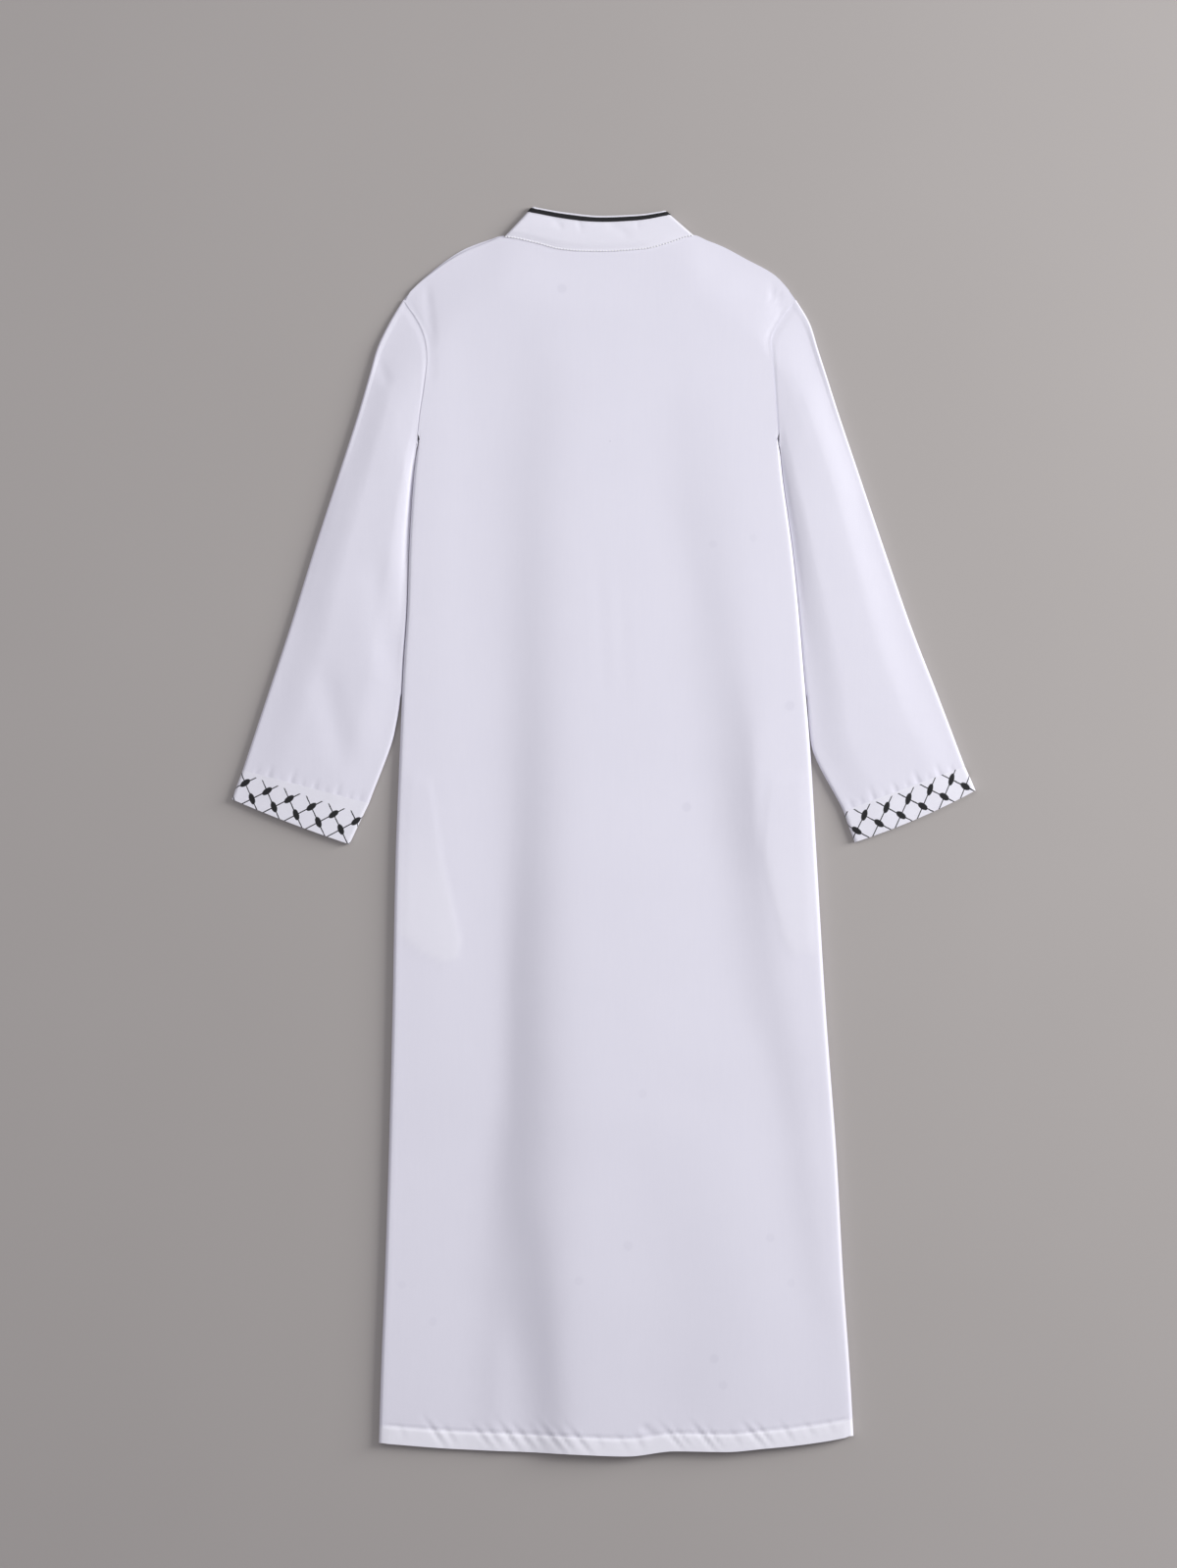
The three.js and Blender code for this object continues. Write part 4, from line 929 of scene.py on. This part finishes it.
sleeve_ts = np.concatenate([
    np.linspace(0, 1, 16),
    np.linspace(1, 8.6, 96)[1:],
    np.linspace(8.6, 9.0, 22)[1:],
])
for sleeve_name, node, table, right, creases in (
        ("left_sleeve", "sleeve_left", SLEEVE_LEFT, False, LEFT_CREASES),
        ("right_sleeve", "sleeve_right", SLEEVE_RIGHT, True, RIGHT_CREASES)):
    grid = ring_grid(table, sleeve_ts, right, creases, True)
    sleeve = cloth_piece(sleeve_name, grid, CLOTH, True)
    plain_cloth.on(sleeve)
    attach(sleeve, "root")
    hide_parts(node)


# ---- Cuff bands ----
# A doubled strip of matt white cloth sewn round each sleeve end, with a black fishnet on it: two rows
# of leaf spots joined by thin crossing lines that run out to the seam and to the folded edge.

CUFF_LEFT = {
    "t": [0, 1, 2],
    "out_x": [-0.4201, -0.4265, -0.4326],
    "out_y": [0.071, 0.054, 0.0371],
    "in_x": [-0.273, -0.2845, -0.2958],
    "in_y": [0.0323, 0.0085, -0.0154],
    "nose": [0.0034, 0.0034, 0.0033],
    "high": [0.0084, 0.0083, 0.0079],
    "sag": [0.0, 0.0006, 0.0015],
}
CUFF_RIGHT = {
    "t": [0, 1, 2],
    "out_x": [0.4201, 0.4266, 0.4326],
    "out_y": [0.0755, 0.0612, 0.0473],
    "in_x": [0.2787, 0.2852, 0.2919],
    "in_y": [0.0232, 0.0052, -0.0131],
    "nose": CUFF_LEFT["nose"],
    "high": CUFF_LEFT["high"],
    "sag": [0.0, 0.0014, 0.0035],
}
BAND_WALL = 0.0013
NET_PITCH = 0.0273
NET_ROW_LOW = 0.0106
NET_ROW_HIGH = 0.025
LINE_HALF = 0.0006
LEAF_LONG = 0.0068
LEAF_WIDE = 0.0034
PRINT_TOP = 0.035
PRINT_SOFT = 0.0006
INK = (0.012, 0.012, 0.014, 1.0)
BAND_WHITE = (0.865, 0.858, 0.925, 1.0)
BAND_SHADE = (0.79, 0.782, 0.855, 1.0)


def fishnet_cloth(name, shift, tilt, middle):
    """White cloth printed with the fishnet: `shift` is where the first low leaf lies along the band, and
    the rows run out of line with the band's edge by `tilt` about its `middle`."""
    finish = Finish(name)
    cut, u, v = finish.cut_map()
    wobble = (finish.noise(cut, 260.0, 1.0) - 0.5) * 0.0007
    v = v - (u - middle) * tilt + wobble
    u = u - shift + wobble
    half = NET_PITCH / 2
    rise = NET_ROW_HIGH - NET_ROW_LOW
    lean = half / rise
    tall = math.hypot(half, rise)

    def folded(value):
        """Distance from the nearest whole pitch."""
        return (value / NET_PITCH).math("ADD", 0.5).math("FRACT").math("SUBTRACT", 0.5) * NET_PITCH

    up_line = folded(u - (v - NET_ROW_LOW) * lean).math("ABSOLUTE") * (rise / tall)
    down_line = folded(u + (v - NET_ROW_LOW) * lean).math("ABSOLUTE") * (rise / tall)
    line = up_line.math("MINIMUM", down_line)
    ink = finish.node("ShaderNodeMapRange", {"interpolation_type": "SMOOTHSTEP"},
                      {0: line, 1: LINE_HALF * 0.75, 2: LINE_HALF * 1.35, 3: 1.0, 4: 0.0})
    below_seam = finish.node("ShaderNodeMapRange", None,
                             {0: v, 1: PRINT_TOP, 2: PRINT_TOP + PRINT_SOFT, 3: 1.0, 4: 0.0})
    ink = ink * below_seam
    for row, offset, slope in ((NET_ROW_LOW, 0.0, -52.0), (NET_ROW_HIGH, half, 55.0)):
        du = folded(u - offset)
        dv = v - row
        c, s = math.cos(math.radians(slope)), math.sin(math.radians(slope))
        along = (du * c + dv * s) / LEAF_LONG
        across = (dv * c - du * s) / LEAF_WIDE
        reach = (along * along) + (across * across)
        leaf = finish.node("ShaderNodeMapRange", {"interpolation_type": "SMOOTHSTEP"},
                           {0: reach, 1: 0.8, 2: 1.15, 3: 1.0, 4: 0.0})
        ink = ink.math("MAXIMUM", leaf)
    slubs = finish.noise(cut, 900.0, 2.0)
    colour = finish.blend(ink, finish.blend(slubs, BAND_WHITE, BAND_SHADE), INK)
    height = weave_height(finish, 0.0005) * 0.5 + slubs * 0.3 + ink * 0.6
    bump = finish.bump(0.4, 0.00018, height)
    return finish.surface({
        "Base Color": colour, "Roughness": slubs * 0.12 + 0.66, "Normal": bump,
        "Sheen Weight": 0.1, "Sheen Roughness": 0.5, "Specular IOR Level": 0.3,
    })


cuff_ts = np.linspace(0, 2, 18)
for cuff_name, node, table, right, shift, tilt, middle in (
        ("left_cuff", "cuff_left", CUFF_LEFT, False, 0.0293, 0.034, 0.06),
        ("right_cuff", "cuff_right", CUFF_RIGHT, True, 0.0128, -0.018, 0.24)):
    grid = ring_grid(table, cuff_ts, right)
    cuff = cloth_piece(cuff_name, grid, BAND_WALL, True)
    fishnet_cloth(cuff_name + "_fishnet", shift, tilt, middle).on(cuff)
    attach(cuff, "root")
    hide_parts(node)


# ---- Stand collar ----
# One doubled band of the robe's cloth, a little stiffer and whiter. It runs round the neck and lies
# folded at both ends, its back half on top; its two ends meet underneath at the middle of the front.

COLLAR_WALL = 0.0014
COLLAR_DEEP = 0.042
COLLAR_LIFT = 0.0015
COLLAR_NOSE = 0.0023
COLLAR_NOSE_WIDE = 0.0042
COLLAR_LAP = 0.0007
NECK_EDGE_DROP = 0.0011
NECK_EDGE_WALL = 0.0003
NECK_EDGE_LONG = 0.22
COLLAR_FRONT_DIP = 0.82
FRONT_TOP_DROP = 0.001
COLLAR_PUFF = 0.0008
FRONT_GAP = 0.0006
COLLAR_TOP = {"x": [-0.083, -0.045, -0.0023, 0.04, 0.0722], "y": [0.7262, 0.7196, 0.7156, 0.7172, 0.7215]}
HALF_STEPS = 30
BACK_STEPS = 90
COLLAR_TURNS = np.radians([-72, -54, -36, -18, 0, 18, 36, 54, 72])
COLLAR_CREASES = (
    (-0.03, 0.712, -0.026, 0.698, 0.003, 0.0004), (-0.06, 0.716, -0.048, 0.7, 0.004, 0.0004),
    (0.004, 0.706, 0.03, 0.692, 0.005, 0.0004), (0.038, 0.715, 0.04, 0.7, 0.0025, 0.0003),
    (-0.018, 0.714, 0.02, 0.708, 0.004, 0.0003),
)


def collar_stations():
    """Places round the band: the lower edge, the upper edge and the height of its outer face."""
    middle = (NECK_LEFT_X + NECK_RIGHT_X) / 2
    top_middle = (COLLAR_TOP["x"][0] + COLLAR_TOP["x"][-1]) / 2
    high = COLLAR_LIFT + 2 * COLLAR_NOSE
    ends = {1: (NECK_RIGHT_X, NECK_RIGHT_Y, COLLAR_TOP["x"][-1], COLLAR_TOP["y"][-1]),
            -1: (NECK_LEFT_X, NECK_LEFT_Y, COLLAR_TOP["x"][0], COLLAR_TOP["y"][0])}

    def front_half(sign):
        neck_x, _, top_x, top_y = ends[sign]
        t = np.sin(0.5 * math.pi * np.linspace(0, 1, HALF_STEPS + 1))
        dip = FRONT_NECK_DROP * np.sqrt(1 - t * t)
        return np.stack([
            lerp(middle + sign * FRONT_GAP, neck_x - sign * COLLAR_NOSE_WIDE, t),
            FRONT_NECK_Y - dip - COLLAR_LAP,
            lerp(top_middle + sign * FRONT_GAP, top_x - sign * COLLAR_NOSE_WIDE, t),
            top_y - FRONT_TOP_DROP - dip * COLLAR_FRONT_DIP,
            np.full(len(t), COLLAR_LIFT)], 1)

    def fold(sign):
        neck_x, neck_y, top_x, top_y = ends[sign]
        out = COLLAR_NOSE_WIDE * (np.cos(COLLAR_TURNS) - 1)
        flat = np.full(len(out), 1.0)
        return np.stack([neck_x + sign * out, (neck_y - COLLAR_LAP) * flat, top_x + sign * out, top_y * flat,
                         COLLAR_LIFT + COLLAR_NOSE * (1 + np.sin(COLLAR_TURNS))], 1)

    x = np.linspace(NECK_RIGHT_X - COLLAR_NOSE_WIDE, NECK_LEFT_X + COLLAR_NOSE_WIDE, BACK_STEPS + 1)
    top_x = np.linspace(COLLAR_TOP["x"][-1] - COLLAR_NOSE_WIDE, COLLAR_TOP["x"][0] + COLLAR_NOSE_WIDE,
                        BACK_STEPS + 1)
    back_half = np.stack([x, read(TOP_EDGE, "x", "y", x) - COLLAR_LAP,
                          top_x, read(COLLAR_TOP, "x", "y", top_x), np.full(len(x), high)], 1)
    return np.concatenate([front_half(1), fold(1), back_half, fold(-1)[::-1], front_half(-1)[::-1]])


stations = collar_stations()


def collar_points(ups):
    """The collar's outer face at some heights up the band, 0 at the neck seam and 1 at its top edge."""
    rows = []
    on_top = smooth((stations[:, 4] - COLLAR_LIFT - COLLAR_NOSE) / COLLAR_NOSE)
    for up in ups:
        x = lerp(stations[:, 0], stations[:, 2], up)
        y = lerp(stations[:, 1], stations[:, 3], up)
        z = stations[:, 4] + on_top * crease_rise(x, y, COLLAR_CREASES)
        puff = COLLAR_PUFF * math.sin(math.pi * min(up * 1.2, 1.0))
        z = z + on_top * (puff - NECK_EDGE_DROP * smooth(1 - up / NECK_EDGE_LONG))
        rows.append(np.stack([x, y, z + ground], 1)[::-1])
    return np.stack(rows)


collar_ups = np.concatenate([np.linspace(0, NECK_EDGE_LONG, 9), np.linspace(NECK_EDGE_LONG, 1, 18)[1:]])
collar_wall = lerp(NECK_EDGE_WALL, COLLAR_WALL, smooth(collar_ups / NECK_EDGE_LONG))[:, None]
collar = cloth_piece("collar_band", collar_points(collar_ups), collar_wall)
collar_cloth = robe_cloth("collar_cloth", (), 0.4)
collar_cloth.on(collar)
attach(collar, "root")
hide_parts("collar")

NECK_STITCH_UP = 0.006
neck_path = collar_points([NECK_STITCH_UP])[0]
neck_path = neck_path[neck_path[:, 2] > ground + COLLAR_LIFT + COLLAR_NOSE] + (0, 0, 0.0001)
neck_thread = thread_finish("neck_thread", (0.97, 0.97, 0.98, 1.0))
neck_stitches = stitch_row("neck_seam_stitches", neck_path, long=0.0026, gap=0.0009, finish=neck_thread,
                           thick=0.00095)


# ---- Collar trim ----
# A narrow black ribbon sewn round the outside of the collar, leaving a thin white edge above it.

TRIM_WIDE = 0.0052
TRIM_INSET = 0.002
TRIM_THICK = 0.0006
TRIM_CLEAR = 0.0001
RIB_PITCH = 0.0009


def ribbon():
    """Matt black ribbon with fine ribs across it."""
    finish = Finish("black_ribbon")
    cut, u, _ = finish.cut_map()
    ribs = (u * (2 * math.pi / RIB_PITCH)).math("SINE")
    fluff = finish.noise(cut, 1500.0, 2.0)
    tone = finish.blend(fluff, (0.01, 0.01, 0.011, 1.0), (0.024, 0.024, 0.027, 1.0))
    bump = finish.bump(0.5, 0.0002, ribs + fluff)
    return finish.surface({
        "Base Color": tone, "Roughness": fluff * 0.15 + 0.62, "Normal": bump, "Specular IOR Level": 0.3})


trim_ups = 1 - np.linspace(TRIM_INSET + TRIM_WIDE, TRIM_INSET, 5) / COLLAR_DEEP
on_collar = collar_points(trim_ups)
trim_grid = on_collar + (TRIM_CLEAR + TRIM_THICK) * outwards(on_collar)
trim = cloth_piece("collar_trim_ribbon", trim_grid, TRIM_THICK)
ribbon().on(trim)
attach(trim, "root")
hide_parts("collar_trim")


# ---- Ground, light and camera ----
# A plain pale surface under the robe, a large soft lamp low on its right, and soft light from above.

FLOOR_SIZE = 9.0
FLOOR_CLEAR = 0.0004
bpy.ops.object.select_all(action="DESELECT")
bpy.ops.mesh.primitive_plane_add(size=FLOOR_SIZE, location=(0, 0, ground - FLOOR_CLEAR))
floor = bpy.context.active_object
floor.name = "floor"
floor_finish = Finish("pale_floor")
floor_place = floor_finish.node("ShaderNodeTexCoord", None, None, "Object")
floor_grain = floor_finish.noise(floor_place, 3.0, 2.0)
floor_tone = floor_finish.blend(floor_grain, (0.4, 0.375, 0.36, 1.0), (0.42, 0.395, 0.38, 1.0))
floor_finish.surface({"Base Color": floor_tone, "Roughness": 0.9})
floor_finish.on(floor)


def lamp(name, size, power, place, aim):
    """A soft rectangular lamp turned to face a point."""
    light = bpy.data.lights.new(name, "AREA")
    light.shape = "RECTANGLE"
    light.size, light.size_y = size
    light.energy = power
    holder = add_object(name, light)
    holder.location = place
    way = np.array(aim, float) - np.array(place, float)
    yaw = math.atan2(way[1], way[0])
    fall = math.acos(-way[2] / np.linalg.norm(way))
    holder.rotation_euler = (fall, 0, yaw - math.pi / 2)


ROBE_MIDDLE = (0, 0.1, 0)
lamp("side_lamp", size=(1.6, 2.8), power=235.0, place=(4.0, 1.3, 1.95), aim=ROBE_MIDDLE)
lamp("top_lamp", size=(3.0, 3.0), power=30.0, place=(-0.9, 0.8, 3.2), aim=ROBE_MIDDLE)

world = bpy.data.worlds.new("studio")
bpy.context.scene.world = world
world.use_nodes = True
sky = world.node_tree.nodes["Background"]
sky.inputs["Color"].default_value = (0.93, 0.91, 1.0, 1.0)
sky.inputs["Strength"].default_value = 0.3

# The camera looks straight down, and its frame is FRAME_HIGH tall at the height of the cloth.
LENS = 85.0
SENSOR = 36.0
FRAME_HIGH = 1.823
CLOTH_HIGH = 0.008
CAMERA_X = -0.0177
CAMERA_Y = 0.0547
camera_data = bpy.data.cameras.new("camera")
camera_data.lens = LENS
camera_data.sensor_width = SENSOR
camera_data.clip_end = 50.0
camera = add_object("camera", camera_data)
camera.location = (CAMERA_X, CAMERA_Y, FRAME_HIGH * LENS / SENSOR + CLOTH_HIGH)
bpy.context.scene.camera = camera
bpy.context.scene.view_settings.view_transform = "Standard"
